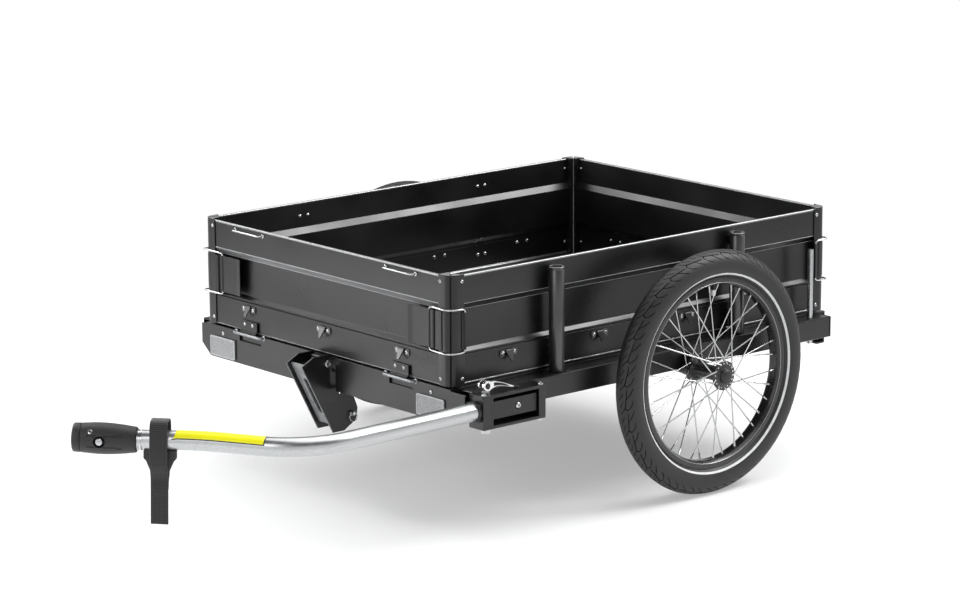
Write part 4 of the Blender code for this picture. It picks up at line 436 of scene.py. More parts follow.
def plate(outlines, thickness, origin, first, second, edge=0.0004):
    """A flat plate with holes, from rounded outlines; its edges are broken all round."""
    curve = bpy.data.curves.new("plate_outline", "CURVE")
    curve.dimensions = "2D"
    curve.fill_mode = "BOTH"
    curve.extrude = thickness / 2 - edge
    curve.bevel_depth = edge
    curve.bevel_resolution = 1
    curve.offset = -edge
    for outline in outlines:
        spline = curve.splines.new("POLY")
        spline.points.add(len(outline) - 1)
        for point, corner in zip(spline.points, outline):
            point.co = (corner[0], corner[1], 0.0, 1.0)
        spline.use_cyclic_u = True
    holder = bpy.data.objects.new("plate_outline", curve)
    scene.collection.objects.link(holder)
    mesh = bpy.data.meshes.new_from_object(holder.evaluated_get(bpy.context.evaluated_depsgraph_get()))
    bpy.data.objects.remove(holder, do_unlink=True)
    first, second = Vector(first), Vector(second)
    axes = Matrix((first, second, first.cross(second))).transposed().to_4x4()
    mesh.transform(Matrix.Translation(origin) @ axes)
    shape = bmesh.new()
    shape.from_mesh(mesh)
    bpy.data.meshes.remove(mesh)
    bmesh.ops.remove_doubles(shape, verts=shape.verts, dist=0.00001)
    return shape


def fillet(corners, steps=5):
    """Points of an outline whose corners (first, second, radius) are rounded by their radius."""
    points = []
    count = len(corners)
    for index, corner in enumerate(corners):
        here = Vector(corner[:2])
        radius = corner[2] if len(corner) > 2 else 0.0
        if radius <= 0.0:
            points.append(tuple(here))
            continue
        behind = (Vector(corners[index - 1][:2]) - here).normalized()
        ahead = (Vector(corners[(index + 1) % count][:2]) - here).normalized()
        half = behind.angle(ahead) / 2
        run = radius / math.tan(half)
        centre = here + (behind + ahead).normalized() * radius / math.sin(half)
        start, end = here + behind * run, here + ahead * run
        for step in range(steps + 1):
            toward = start.lerp(end, step / steps) - centre
            points.append(tuple(centre + toward.normalized() * radius))
    return points


def ring_hole(centre, radius, steps=16):
    """A round hole's outline."""
    return [(centre[0] + radius * math.cos(math.tau * step / steps),
             centre[1] + radius * math.sin(math.tau * step / steps)) for step in range(steps)]


# Dull zinc: hot-dipped and weathered, with its spangle drawn at 4 mm.
dull_zinc, tree, shader, place = start_material("hot_dip_zinc", 0.42, 1.0)
spangle = add_node(tree, "ShaderNodeTexVoronoi", values={"Scale": 250.0}, links={"Vector": place})
two_tones(tree, shader, "#7a7c7e", "#a2a4a6", spangle.outputs["Distance"])
vary_roughness(tree, shader, 0.34, 0.50, spangle.outputs["Distance"])

for end_name, end in ENDS:
    face = BOX_FRONT if end < 0 else BOX_REAR
    half = RAIL_OUTER if end < 0 else RAIL_INNER
    if end < 0:
        outline = fillet([(-0.3300, 0.2360, 0.002), (-0.3300, 0.2025, 0.001), (-0.3060, CHANNEL_BOTTOM, 0.002),
                          (-0.030, CHANNEL_BOTTOM, 0.001), (-0.030, 0.2355, 0.003), (0.030, 0.2355, 0.003),
                          (0.030, CHANNEL_BOTTOM, 0.001), (0.310, CHANNEL_BOTTOM, 0.002), (half, 0.2025, 0.001),
                          (half, 0.2360, 0.002), (BOX_HALF_WIDTH, 0.2360), (BOX_HALF_WIDTH, CHANNEL_TOP),
                          (-BOX_HALF_WIDTH, CHANNEL_TOP), (-BOX_HALF_WIDTH, 0.2360)])
    else:
        outline = fillet([(-half, CHANNEL_TOP), (-half, CHANNEL_BOTTOM, 0.002), (half, CHANNEL_BOTTOM, 0.002),
                          (half, CHANNEL_TOP)])
    holes = [fillet([(side * HINGE_X - 0.029, 0.2228, 0.0012), (side * HINGE_X + 0.029, 0.2228, 0.0012),
                     (side * HINGE_X + 0.029, 0.2342, 0.0012), (side * HINGE_X - 0.029, 0.2342, 0.0012)])
             for side in (-1, 1)]
    web = plate([outline] + holes, 0.003, (0.0, face - end * 0.0015, 0.0), ACROSS, UP)
    lips = [block((-0.3175, face - end * 0.0025, 0.2354), (0.3175, face - end * CHANNEL_DEPTH, 0.2383))]
    # A strip behind each slot keeps daylight out.
    lips += [block((side * HINGE_X - 0.031, face - end * 0.0036, 0.2205),
                   (side * HINGE_X + 0.031, face - end * 0.0048, 0.2362)) for side in (-1, 1)]
    spans = ((-0.305, -0.0305), (0.0305, 0.309)) if end < 0 else ((-half, half),)
    for low, high in spans:
        lips.append(block((low, face - end * 0.0025, 0.1831), (high, face - end * CHANNEL_DEPTH, 0.1860)))
    finished(end_name + "_cross_channel", together(web, *lips), [powder_coat], "chassis",
             [end_name + "_beam"], angle=15.0)

    # Drawn 4.8 mm bar, pushed through the face and riveted behind, with a collar on each end.
    bows = []
    for side in (-1, 1):
        bows.append(rod(bow_route(side * HINGE_X, face, end, 0.2375), 0.0024, 12))
        for tip in (-1, 1):
            bows.append(spun([(0.0, 0.0016), (0.0028, 0.0016), (0.0044, 0.0008), (0.0044, -0.0004),
                              (0.0, -0.0004)],
                             (side * HINGE_X + tip * BOW_SPAN / 2, face, 0.2375), ALONG * end, 16))
    finished(end_name + "_hinge_bows", together(*bows), [dull_zinc], "chassis", angle=40.0)

# Beam screws: zinc-plated button heads, one above each blank plate in front and four on the rear channel.
PLATE_X = 0.270
screws = [button_screw((side * PLATE_X, BOX_FRONT, 0.2265), -ALONG, 0.0036) for side in (-1, 1)]
screws += [button_screw((side * x, BOX_REAR, 0.2120), ALONG, 0.0036) for side in (-1, 1) for x in (0.100, 0.300)]
finished("beam_screws", together(*screws), [zinc_plate], "chassis")

# Side panels
# Aluminium sheet rolled with two proud bands and a sunken middle, black powder coated.
# The sawn top edge is left bright; hooks for a tarpaulin cord are screwed to the lower band.
PANEL_TOP = 0.4180
SHEET = 0.0040
FACE_INSET = 0.0018
POST_REACH = 0.0223
HOOK_HEIGHT = 0.280
SIDE_HOOK_PITCH = 0.1945

# Bare aluminium edge: sawn and brushed, with saw marks across it drawn at 3 mm.
sawn_edge, tree, shader, place = start_material("sawn_aluminium_edge", 0.34, 1.0)
teeth = noise(tree, place, 330.0)
two_tones(tree, shader, "#8a8b8c", "#a8a9aa", teeth)
vary_roughness(tree, shader, 0.26, 0.42, teeth)

# Mill-finish aluminium: the trims, as they come from the press, with faint roll lines drawn at 4 mm.
mill_finish, tree, shader, place = start_material("mill_finish_aluminium", 0.32, 1.0)
roll = noise(tree, place, 250.0)
two_tones(tree, shader, "#bcbdbe", "#d4d5d6", roll)

# Fold highlight: a pale grey painted highlight laid along the edges of the folds, mottled in patches.
fold_highlight_coat, tree, shader, place = start_material("fold_highlight_painted_grey", 0.40, ior=1.52)
highlight_mottle = noise(tree, place, 60.0, 3.0)
two_tones(tree, shader, "#7c7d7e", "#bcbdbe", highlight_mottle)
add_bump(tree, shader, highlight_mottle, 0.0001, 0.5)

# Fold slope highlight: a dark grey painted highlight on the slope of the end panels' upper fold, mottled.
fold_slope_highlight_coat, tree, shader, place = start_material("fold_slope_painted_grey", 0.36, ior=1.58)
highlight_mottle = noise(tree, place, 25.0, 3.0)
two_tones(tree, shader, "#5c5d5e", "#828384", highlight_mottle)


def panel_section(bottom):
    """The rolled sheet in section: (depth inward, height, rounding); a groove runs behind the lower lip."""
    return [(0.0, bottom), (0.0, 0.2902, 0.0003), (0.0009, 0.2902, 0.0003), (0.0009, 0.2884), (0.0029, 0.2884),
            (0.0029, 0.2938, 0.0004), (0.0080, 0.3000, 0.0009), (0.0080, 0.3620, 0.0009),
            (0.0, 0.3722, 0.0009), (0.0, PANEL_TOP - 0.0030), (SHEET, PANEL_TOP - 0.0030), (SHEET, 0.3744, 0.0007),
            (0.0120, 0.3642, 0.0007), (0.0120, 0.3018, 0.0007), (0.0046, 0.2936, 0.0007), (0.0046, 0.2880, 0.0004),
            (SHEET, 0.2872), (SHEET, bottom)]


# Gloss powder coat: the same black skin on the drawn tubes, smoother and shinier than on the sheets.
gloss_coat, tree, shader, place = start_material("black_gloss_powder_coat", 0.30, ior=1.85)
dust = noise(tree, place, 12.0, 4.0)
two_tones(tree, shader, "#101011", "#1a1a1b", dust)
vary_roughness(tree, shader, 0.26, 0.36, dust)
peel = noise(tree, place, 400.0)
add_bump(tree, shader, peel, 0.00005, 0.5)

# The bare bead that stiffens the sheet's top edge, in section.
BEAD = ((-0.0003, PANEL_TOP - 0.0031, 0.0003), (SHEET + 0.0003, PANEL_TOP - 0.0031, 0.0003),
        (SHEET + 0.0003, PANEL_TOP, 0.0016), (-0.0003, PANEL_TOP, 0.0016))


def fold_highlight_rods(length, place, inward, radius, folds):
    """Rods along the edges of the folds at (depth, height), which carry a painted highlight."""
    along = inward.cross(UP)
    lines = []
    for depth, height in folds:
        middle = place + inward * depth + UP * height
        lines.append(rod([middle - along * length / 2, middle + along * length / 2], radius, 8))
    return lines


def bright_rim(shape, height, lift=-2.0):
    """Give the faces above a height the bare metal; lift is how far up they have to look."""
    bmesh.ops.recalc_face_normals(shape, faces=shape.faces)
    for face in shape.faces:
        if face.normal.z > lift and face.calc_center_median().z > height:
            face.material_index = 1
    return shape


HOOK_SCREW = 0.0122


def cord_hook(centre, outward):
    """A pressed base with a tongue bent out and down, and its two screws, as (hook, screws)."""
    centre, outward = Vector(centre), Vector(outward)
    sideways = outward.cross(UP)
    base = drawn([(-0.0180, -0.0056, 0.0035), (0.0180, -0.0056, 0.0035), (0.0180, 0.0056, 0.0035),
                  (-0.0180, 0.0056, 0.0035)], 0.0018, centre + outward * 0.0009, sideways, UP)
    slope = (UP * 0.93 - outward * 0.37).normalized()
    tongue = drawn([(-0.0024, -0.0130, 0.0016), (0.0024, -0.0130, 0.0016), (0.0076, 0.0040, 0.0012),
                    (0.0076, 0.0056), (-0.0076, 0.0056), (-0.0076, 0.0040, 0.0012)], 0.0022,
                   centre + outward * 0.0052, sideways, slope)
    neck = drawn([(0.0010, 0.0030), (0.0050, 0.0030), (0.0050, 0.0056, 0.0012), (0.0010, 0.0056)], 0.0152,
                 centre, outward, UP)
    heads = [button_screw(centre + sideways * reach + outward * 0.0018, outward, 0.0037, 0.0022)
             for reach in (-HOOK_SCREW, HOOK_SCREW)]
    return together(base, tongue, neck), heads


for side_name, side in SIDES:
    face = side * (BOX_HALF_WIDTH - FACE_INSET)
    middle = (BOX_FRONT + BOX_REAR) / 2
    length = BOX_REAR - BOX_FRONT - 2 * POST_REACH
    sheet = drawn(panel_section(0.2445), length, (face, middle, 0.0), ACROSS * -side, UP)
    # The foot of the sheet is folded out a little, which catches the light above the rail.
    foot = block((face, middle - length / 2, 0.2446), (face + side * 0.0014, middle + length / 2, 0.2464))
    # A flat sill closes the gap between the sheet and the rail; a bare angle trims the board inside.
    sill = block((side * 0.2850, BOX_FRONT + 0.0188, 0.2290), (side * 0.3174, BOX_REAR - 0.0188, 0.2399))
    wall = block((side * 0.3130, BOX_FRONT + 0.0200, 0.2385), (side * 0.3155, BOX_REAR - 0.0200, 0.2446))
    trim = drawn([(0.0, 0.2447), (0.0042, 0.2447, 0.0004), (0.0042, 0.2459, 0.0003), (0.0014, 0.2459, 0.0004),
                  (0.0014, 0.2478, 0.0003), (0.0, 0.2478, 0.0003)], length - 0.002,
                 (face - side * (SHEET + 0.0001), middle, 0.0), ACROSS * -side, UP)
    hooks, heads = [], []
    for index in range(4):
        y = -0.366 + SIDE_HOOK_PITCH * index
        hook, pair = cord_hook((face, y, HOOK_HEIGHT), ACROSS * side)
        hooks.append(hook)
        heads += pair
        inside = face - side * SHEET
        for reach in (-HOOK_SCREW, HOOK_SCREW):
            heads.append(button_screw((inside, y + reach, HOOK_HEIGHT), ACROSS * -side, 0.0034))
    # Pale rods along the two upper folds are painted highlights.
    finished("side_creases_" + side_name,
             together(*fold_highlight_rods(length, Vector((face, middle, 0.0)), ACROSS * -side, 0.0005,
                                    ((0.0003, 0.3720), (0.0077, 0.3620)))), [fold_highlight_coat],
             "chassis", angle=50.0)
    bead = drawn(BEAD, length, (face, middle, 0.0), ACROSS * -side, UP)
    shape = bright_rim(together(sheet, bead), PANEL_TOP - 0.0032)
    finished("side_sheet_" + side_name, shape, [powder_coat, sawn_edge], "chassis",
             ["side_panel_" + side_name])
    finished("side_foot_" + side_name, together(foot, trim), [mill_finish], "chassis",
             soften=0.0003)
    finished("side_sill_" + side_name, together(sill, wall), [powder_coat], "chassis",
             soften=0.0003)
    finished("cord_hooks_" + side_name, together(*hooks), [gloss_coat], "chassis",
             soften=0.0003)
    finished("cord_hook_screws_" + side_name, together(*heads), [zinc_plate], "chassis")

# End panels
# The same rolled sheet, front and rear, each on two leaves that turn on the beams' bows.
# Bows near the top take a tarpaulin or a lashing strap; the leaves are riveted on.
END_LENGTH = 2 * 0.2957
END_HOOK_PITCH = 0.199
TOP_BOW_HEIGHT = 0.4095
LEAF_SCREW_HEIGHT = 0.2545

for end_name, end in ENDS:
    body = end_name + "_panel"
    box_face = BOX_FRONT if end < 0 else BOX_REAR
    face = box_face - end * FACE_INSET
    sheet = drawn(panel_section(0.2425), END_LENGTH, (0.0, face, 0.0), ALONG * -end, UP)
    # The end panels get a painted highlight over the whole slope of the upper fold, and a painted highlight line
    # along the lower edge.
    place = Vector((0.0, face, 0.0))
    lines = fold_highlight_rods(END_LENGTH, place, ALONG * -end, 0.0009, ((0.0004, 0.3720), (0.0078, 0.3620)))
    lines += fold_highlight_rods(END_LENGTH, place, ALONG * -end, 0.0005, ((0.0002, 0.2429),))
    finished(end_name + "_creases", together(*lines), [fold_highlight_coat], body, angle=50.0)
    # A thin grey skin on the upper fold's slope is a painted highlight.
    slope = drawn([(0.0006, 0.3713), (0.0076, 0.3623), (0.0073, 0.3619), (0.0003, 0.3709)], 2 * 0.2955, place,
                  ALONG * -end, UP)
    finished(end_name + "_rubbed_fold", slope, [fold_slope_highlight_coat], body, angle=50.0)
    bead = drawn(BEAD, END_LENGTH, (0.0, face, 0.0), ALONG * -end, UP)
    finished(end_name + "_sheet", bright_rim(together(sheet, bead), PANEL_TOP - 0.0032),
             [powder_coat, sawn_edge], body, [end_name + "_panel"])
    hooks, heads, bows, leaves = [], [], [], []
    for index in (-1, 0, 1):
        x = index * END_HOOK_PITCH
        hook, pair = cord_hook((x, face, HOOK_HEIGHT), ALONG * end)
        hooks.append(hook)
        heads += pair
        for reach in (-HOOK_SCREW, HOOK_SCREW):
            heads.append(button_screw((x + reach, face - end * SHEET, HOOK_HEIGHT), ALONG * -end, 0.0034))
    for side in (-1, 1):
        centre = side * HINGE_X
        bows.append(rod(bow_route(centre, face, end, TOP_BOW_HEIGHT, stand=0.0090), 0.0014, 12))
        for tip in (-1, 1):
            bows.append(spun([(0.0, 0.0020), (0.0024, 0.0020), (0.0036, 0.0010), (0.0036, -0.0004),
                              (0.0, -0.0004)],
                             (centre + tip * BOW_SPAN / 2, face, TOP_BOW_HEIGHT), ALONG * end, 16))
        # One strip: flat on the sheet, cranked out below it to lie round the back of the bow.
        roll_centre = (0.0075, 0.2380)
        strip = [(0.0, 0.2602), (0.0022, 0.2602, 0.0008), (0.0023, 0.2452, 0.0012)]
        for radius, turns in ((0.0030, range(0, 6)), (0.0049, range(5, -1, -1))):
            for step in turns:
                turn = math.radians(125.0 + 19.0 * step)
                strip.append((roll_centre[0] + radius * math.cos(turn), roll_centre[1] + radius * math.sin(turn)))
        strip += [(0.0, 0.2440, 0.0010)]
        leaves.append(drawn(strip, 0.043, (centre, box_face, 0.0), ALONG * end, UP))
        for reach in (-0.0105, 0.0105):
            heads.append(button_screw((centre + reach, box_face + end * 0.0022, LEAF_SCREW_HEIGHT), ALONG * end,
                                      0.0034, 0.0020))
            heads.append(button_screw((centre + reach, face - end * SHEET, LEAF_SCREW_HEIGHT), ALONG * -end,
                                      0.0034))
    finished(end_name + "_cord_hooks", together(*hooks), [gloss_coat], body,
             soften=0.0003)
    finished(end_name + "_panel_screws", together(*heads), [zinc_plate], body)
    finished(end_name + "_top_bows", together(*bows), [zinc_plate], body, angle=40.0)
    finished(end_name + "_hinge_leaves", together(*leaves), [powder_coat], body,
             angle=32.0)

# Corner posts
# Extruded aluminium quarter rounds in two halves, split at the corner seam so that the end panel folds.
# Each half is riveted to its own panel; a pressed pad under the latch keeps the wire off the coating.
POST_TOP = 0.4195
POST_BOTTOM = 0.2415
LATCH_BOTTOM = 0.2985
LATCH_TOP = 0.3605
LATCH_MIDDLE = (LATCH_BOTTOM + LATCH_TOP) / 2
LATCH_HEIGHT = LATCH_TOP - LATCH_BOTTOM


def post_half(proud=0.0, flange=0.0290, thickness=0.0014):
    """Half a post in plan: (distance along the panel, depth inward), from the seam to the flange."""
    points = []
    for step in range(9):
        turn = math.radians(225.0 + 4.0 + 41.0 * step / 8)
        reach = 0.0160 + proud
        points.append((0.0160 + reach * math.cos(turn), 0.0160 + reach * math.sin(turn)))
    points += [(flange, -proud, 0.0005), (flange, thickness, 0.0005)]
    return points


for end_name, end in ENDS:
    for side_name, side in SIDES:
        tag = end_name + "_" + side_name
        corner = Vector((side * BOX_HALF_WIDTH, BOX_FRONT if end < 0 else BOX_REAR, 0.0))
        to_middle_x, to_middle_y = ACROSS * -side, ALONG * -end
        for half_name, along, inward, body in (
            ("side", to_middle_y, to_middle_x, "chassis"),
            ("end", to_middle_x, to_middle_y, end_name + "_panel"),
        ):
            outline = post_half() + [(0.0218, 0.0014, 0.0008), (0.0218, 0.0160, 0.0006), (0.0180, 0.0160)]
            height = POST_TOP - POST_BOTTOM
            post = drawn(outline, height, corner + UP * (POST_TOP + POST_BOTTOM) / 2, along, inward)
            if half_name == "side":
                section = [(0.0218, 0.001), (0.0224, -0.0013), (0.0240, -0.0023), (0.0256, -0.0023),
                           (0.0256, 0.001)]
                ridge_height, pad_reach = LATCH_HEIGHT - 0.002, 0.0188
            else:
                section = [(0.0192, 0.0008), (0.0196, -0.0019, 0.0004), (0.0348, -0.0019, 0.0006),
                           (0.0348, -0.0002), (0.0288, 0.0008)]
                ridge_height, pad_reach = LATCH_HEIGHT, 0.0180
            ridge = drawn(section, ridge_height, corner + UP * LATCH_MIDDLE, along, inward)
            pad = drawn(post_half(0.0009, pad_reach, 0.0006), LATCH_HEIGHT - 0.004, corner + UP * LATCH_MIDDLE,
                        along, inward)
            shape = bright_rim(together(post), POST_TOP - 0.001)
            finished(half_name + "_post_coat_" + tag, shape, [powder_coat, sawn_edge], body,
                     [half_name + "_post_" + tag], soften=0.0004, angle=40.0)
            finished(half_name + "_latch_pad_" + tag, together(ridge, pad), [powder_coat], body,
                     soften=0.0003, angle=40.0)
            rivets = [button_screw(corner + along * 0.0240 + UP * z, inward * -1, 0.0032, 0.0018)
                      for z in (0.2525, 0.4080)]
            rivets += [button_screw(corner + along * 0.0262 + inward * 0.0058 + UP * z, inward, 0.0030, 0.0016)
                       for z in (0.2650, 0.4000)]
            finished(half_name + "_post_rivets_" + tag, together(*rivets), [zinc_plate], body)
        # A black strip stands behind the seam, on the side panel's half, as painted shade that keeps the slit dark.
        diagonal = (to_middle_x + to_middle_y).normalized()
        across_seam = diagonal.cross(UP)
        seam_shade_strip = drawn([(0.0108, -0.0007, 0.0003), (0.0108, 0.0007, 0.0003), (0.0230, 0.0011), (0.0230, -0.0011)],
                     POST_TOP - POST_BOTTOM - 0.003, corner + UP * ((POST_TOP + POST_BOTTOM) / 2 - 0.001),
                     diagonal, across_seam)
        finished("seam_seal_" + tag, seam_shade_strip, [moulded_nylon], "chassis", angle=40.0)

# Corner latches
# A pressed lever lies in the recess of the end panel and pulls a wire loop round the post.
# The loop is 3 mm stainless wire; its rod drops behind the ridge on the side panel's half.

WIRE_RADIUS = 0.0015

# Stainless wire: drawn and polished, with faint marks along it.
stainless_wire, tree, shader, place = start_material("stainless_wire", 0.18, 1.0)
draw_marks = noise(tree, place, 500.0)
two_tones(tree, shader, "#bcbdbe", "#d8d9da", draw_marks)
vary_roughness(tree, shader, 0.12, 0.26, draw_marks)

for end_name, end in ENDS:
    for side_name, side in SIDES:
        tag = end_name + "_" + side_name
        corner = Vector((side * BOX_HALF_WIDTH, BOX_FRONT if end < 0 else BOX_REAR, 0.0))
        inward, outward = ACROSS * -side, ALONG * end
        pivot = corner + inward * 0.0390 + outward * 0.0012
        leg = pivot + inward * 0.0110 - outward * 0.0010
        # The plate lies almost flush; its knuckles roll round the pivot pin and the loop's leg.
        lever = drawn([(-0.0010, -0.0018), (0.0520, -0.0018, 0.004), (0.0618, 0.0006, 0.0005),
                       (0.0614, 0.0022, 0.0006), (0.0515, -0.0002, 0.004), (-0.0010, -0.0002)],
                      LATCH_HEIGHT - 0.0006, pivot + UP * LATCH_MIDDLE, inward, outward)
        knuckles = [spun([(0.0, 0.0307), (radius - 0.0005, 0.0307), (radius, 0.0302), (radius, -0.0302),
                          (radius - 0.0005, -0.0307), (0.0, -0.0307)], centre + UP * LATCH_MIDDLE, UP, 20)
                    for centre, radius in ((pivot, 0.0027), (leg, 0.0024))]
        finished("latch_plate_" + tag, together(lever, *knuckles), [powder_coat], "latch_" + tag,
                 ["latch_lever_" + tag], soften=0.0003, angle=40.0)

        # Latched hard, the near loop hugs the post; the others stand a little off it in a tighter bend.
        stand = 0.0025
        bend, inset = (0.0185, 0.0160) if (end, side) == (-1, 1) else (0.0085, 0.0058)
        arc_middle = corner + inward * inset - outward * inset
        hook_rod = corner - inward * stand - outward * 0.0278
        plan = [leg - inward * 0.0110 + outward * (stand - (leg - corner).dot(outward)) * 0.5]
        for step in range(9):
            turn = math.radians(90.0 * step / 8)
            plan.append(arc_middle + outward * bend * math.cos(turn) - inward * bend * math.sin(turn))
        plan.append(hook_rod)
        high, low = LATCH_TOP + 0.0040, LATCH_BOTTOM - 0.0040
        loop = [leg + UP * (low + 0.0030), leg + UP * (high - 0.0030)]
        loop += [leg.lerp(plan[0], 0.16) + UP * (high - 0.0008)]
        loop += [point + UP * high for point in plan[:-1]]
        loop += [plan[-2].lerp(plan[-1], 0.75) + UP * (high - 0.0008)]
        loop += [hook_rod + UP * (high - 0.0030), hook_rod + UP * (low + 0.0030)]
        loop += [plan[-2].lerp(plan[-1], 0.75) + UP * (low + 0.0008)]
        loop += [point + UP * low for point in plan[-2::-1]]
        loop += [leg.lerp(plan[0], 0.16) + UP * (low + 0.0008)]
        finished("latch_wire_" + tag, rod(loop, WIRE_RADIUS, 12, cyclic=True), [stainless_wire], "bail_" + tag,
                 ["latch_bail_" + tag], angle=50.0)
        sleeve = spun([(0.0, 0.0296), (0.0018, 0.0296), (0.0021, 0.0292), (0.0021, -0.0292), (0.0018, -0.0296),
                       (0.0, -0.0296)], hook_rod + UP * LATCH_MIDDLE, UP, 16)
        finished("latch_sleeve_" + tag, sleeve, [moulded_nylon], "bail_" + tag, angle=40.0)

# Stakes
# Round aluminium tubes that stand on the rails and stiffen the sides, black powder coated.
# A plug with a pale rim closes each top; saddles behind carry the panel's screws.
SADDLE_HEIGHTS = (0.270, 0.394)

for side_name, side in SIDES:
    heads = []
    for end_name, y in (("front", -0.2790), ("rear", 0.1210)):
        tag = end_name + "_" + side_name
        centre = (side * 0.3340, y, 0.0)
        tube = spun([(0.0, 0.2384), (0.0121, 0.2384), (0.0125, 0.2389), (0.0125, 0.4040), (0.0122, 0.4044),
                     (0.0125, 0.4048), (0.0125, 0.4078), (0.0118, 0.4085), (0.0103, 0.4085), (0.0100, 0.4079),
                     (0.0100, 0.4062), (0.0070, 0.4056), (0.0, 0.4054)], centre, UP, 40)
        saddles = [block((side * 0.3166, y - 0.006, z - 0.008), (side * 0.3290, y + 0.006, z + 0.008))
                   for z in SADDLE_HEIGHTS]
        finished("stake_tube_" + tag, together(tube), [gloss_coat], "chassis",
                 ["stake_" + tag], angle=50.0)
        finished("stake_saddles_" + tag, together(*saddles), [powder_coat], "chassis",
                 soften=0.0008)
        ring = spun([(0.0102, 0.40855), (0.0104, 0.4089), (0.0117, 0.4089), (0.0120, 0.40855), (0.0118, 0.4083),
                     (0.0104, 0.4083)], centre, UP, 40, closed=True)
        finished("stake_rim_" + tag, ring, [sawn_edge], "chassis", angle=50.0)
        for z in SADDLE_HEIGHTS:
            for reach in (-0.0085, 0.0085):
                heads.append(button_screw((side * (BOX_HALF_WIDTH - FACE_INSET - SHEET), y + reach, z),
                                          ACROSS * -side, 0.0034))
    finished("stake_screws_" + side_name, together(*heads), [zinc_plate], "chassis")

# Wheels
# Sixteen inch wheels: vulcanised tyres on black box rims, laced with stainless spokes to black hubs.
# Long and short grooves slant back from the middle of the tread; a pale line runs round each sidewall.
WHEEL_X = 0.3962
WHEEL_RADIUS = 0.2025

# Vulcanised rubber: very dark grey and dull, with road dust in the tread. Its mould grain is drawn at 3 mm.
tyre_rubber, tree, shader, place = start_material("vulcanised_rubber", 0.55, ior=1.52)
dust = noise(tree, place, 22.0, 5.0)
two_tones(tree, shader, "#121213", "#262627", dust)
vary_roughness(tree, shader, 0.40, 0.62, dust)
grain = noise(tree, place, 330.0, 3.0)
add_bump(tree, shader, grain, 0.0002, 0.6)

# Groove rubber: the tyre in its grooves, matt and darker than the tread; the darkness is partly unworn rubber and
# partly painted shade.
groove_rubber_with_shade, tree, shader, place = start_material("groove_rubber_painted_shade", 0.85, ior=1.5)
dust = noise(tree, place, 150.0)
two_tones(tree, shader, "#060607", "#0e0e0f", dust)

# Sidewall line: a strip of pale grey reflective rubber, slightly scuffed.
sidewall_line, tree, shader, place = start_material("pale_sidewall_rubber", 0.5)
scuff = noise(tree, place, 120.0, 4.0)
two_tones(tree, shader, "#c2c3c4", "#f2f2f2", scuff)
add_bump(tree, shader, scuff, 0.0001, 0.5)

# Anodised rim: black aluminium, turned, glossier than the coated box.
black_anodised, tree, shader, place = start_material("black_anodised_aluminium", 0.28, ior=1.6)
lathe = noise(tree, place, 70.0, 4.0)
two_tones(tree, shader, "#131314", "#1e1e1f", lathe)
vary_roughness(tree, shader, 0.20, 0.36, lathe)
add_bump(tree, shader, lathe, 0.00008, 0.5)

# White valve cap: moulded polyethylene, a little yellowed.
white_cap, tree, shader, place = start_material("white_moulded_polyethylene", 0.4)
yellowed = noise(tree, place, 160.0)
two_tones(tree, shader, "#e2e1de", "#f0f0ee", yellowed)
add_bump(tree, shader, yellowed, 0.0001, 0.4)

TYRE_SECTION = ((0.1590, 0.0122), (0.1612, 0.0146), (0.1629, 0.0163), (0.1645, 0.0176), (0.1661, 0.0187),
                (0.1690, 0.0200), (0.1740, 0.0210), (0.1800, 0.0212), (0.1846, 0.0206), (0.1874, 0.0197),
                (0.1897, 0.0187), (0.1920, 0.0173), (0.1943, 0.0155), (0.1960, 0.0140), (0.1967, 0.0131),
                (0.1979, 0.0116), (0.1992, 0.0096), (0.2000, 0.0081), (0.2004, 0.0073), (0.2015, 0.0044),
                (0.2022, 0.0018), (0.2024, 0.0008))
TREAD_PITCHES = 32
PITCH_COLUMNS = 14
CROWN_RADIUS = 0.2024
PITCH = math.tau * CROWN_RADIUS / TREAD_PITCHES * 1000
TREAD_EDGE = 9
SLANT = 0.5
# The grooves of half a tread over one pitch, in mm from the tyre's middle and along it before slanting.
GROOVES = (((14.2, 2.0), (13.1, 17.4), (10.5, 32.1), (2.5, 37.6)),
           ((9.4, 31.5), (14.9, 37.6), (21.4, 34.0), (24.8, 26.2)),
           ((13.8, 17.7), (20.3, 12.0), (24.6, 5.1)), ((1.2, 13.0), (7.6, 6.2)), ((1.6, 27.0), (8.2, 20.0)))


def tread_pitch(width):
    """Half a tread over one pitch laid flat: its points, its triangles and which of these lie in grooves."""
    points = [Vector((width * row / 11, PITCH * column / PITCH_COLUMNS)) for row in range(12)
              for column in range(PITCH_COLUMNS + 1)]
    outlines = []
    for line in GROOVES:
        stations = [Vector(point) for point in line]
        left, right = [], []
        for index, point in enumerate(stations):
            run = (stations[min(index + 1, len(line) - 1)] - stations[max(index - 1, 0)]).normalized()
            side = Vector((-run.y, run.x)) * (0.95 if 0 < index < len(line) - 1 else 0.7)
            left.append(point + side)
            right.append(point - side)
        outlines.append(right + left[::-1])
        for near, far in zip(stations, stations[1:]):
            run = (far - near).normalized()
            kept = []
            for point in points:
                foot = near + run * min(max((point - near).dot(run), 0.0), (far - near).length)
                if point.x in (0.0, width) or point.y in (0.0, PITCH) or (point - foot).length > 1.7:
                    kept.append(point)
            points = kept
    loops = []
    for outline in outlines:
        loops.append(list(range(len(points), len(points) + len(outline))))
        points = points + outline
    found, _, faces, _, _, sources = geometry.delaunay_2d_cdt(points, [], loops, 0, 0.0001)
    return found, faces, [bool(source) for source in sources]


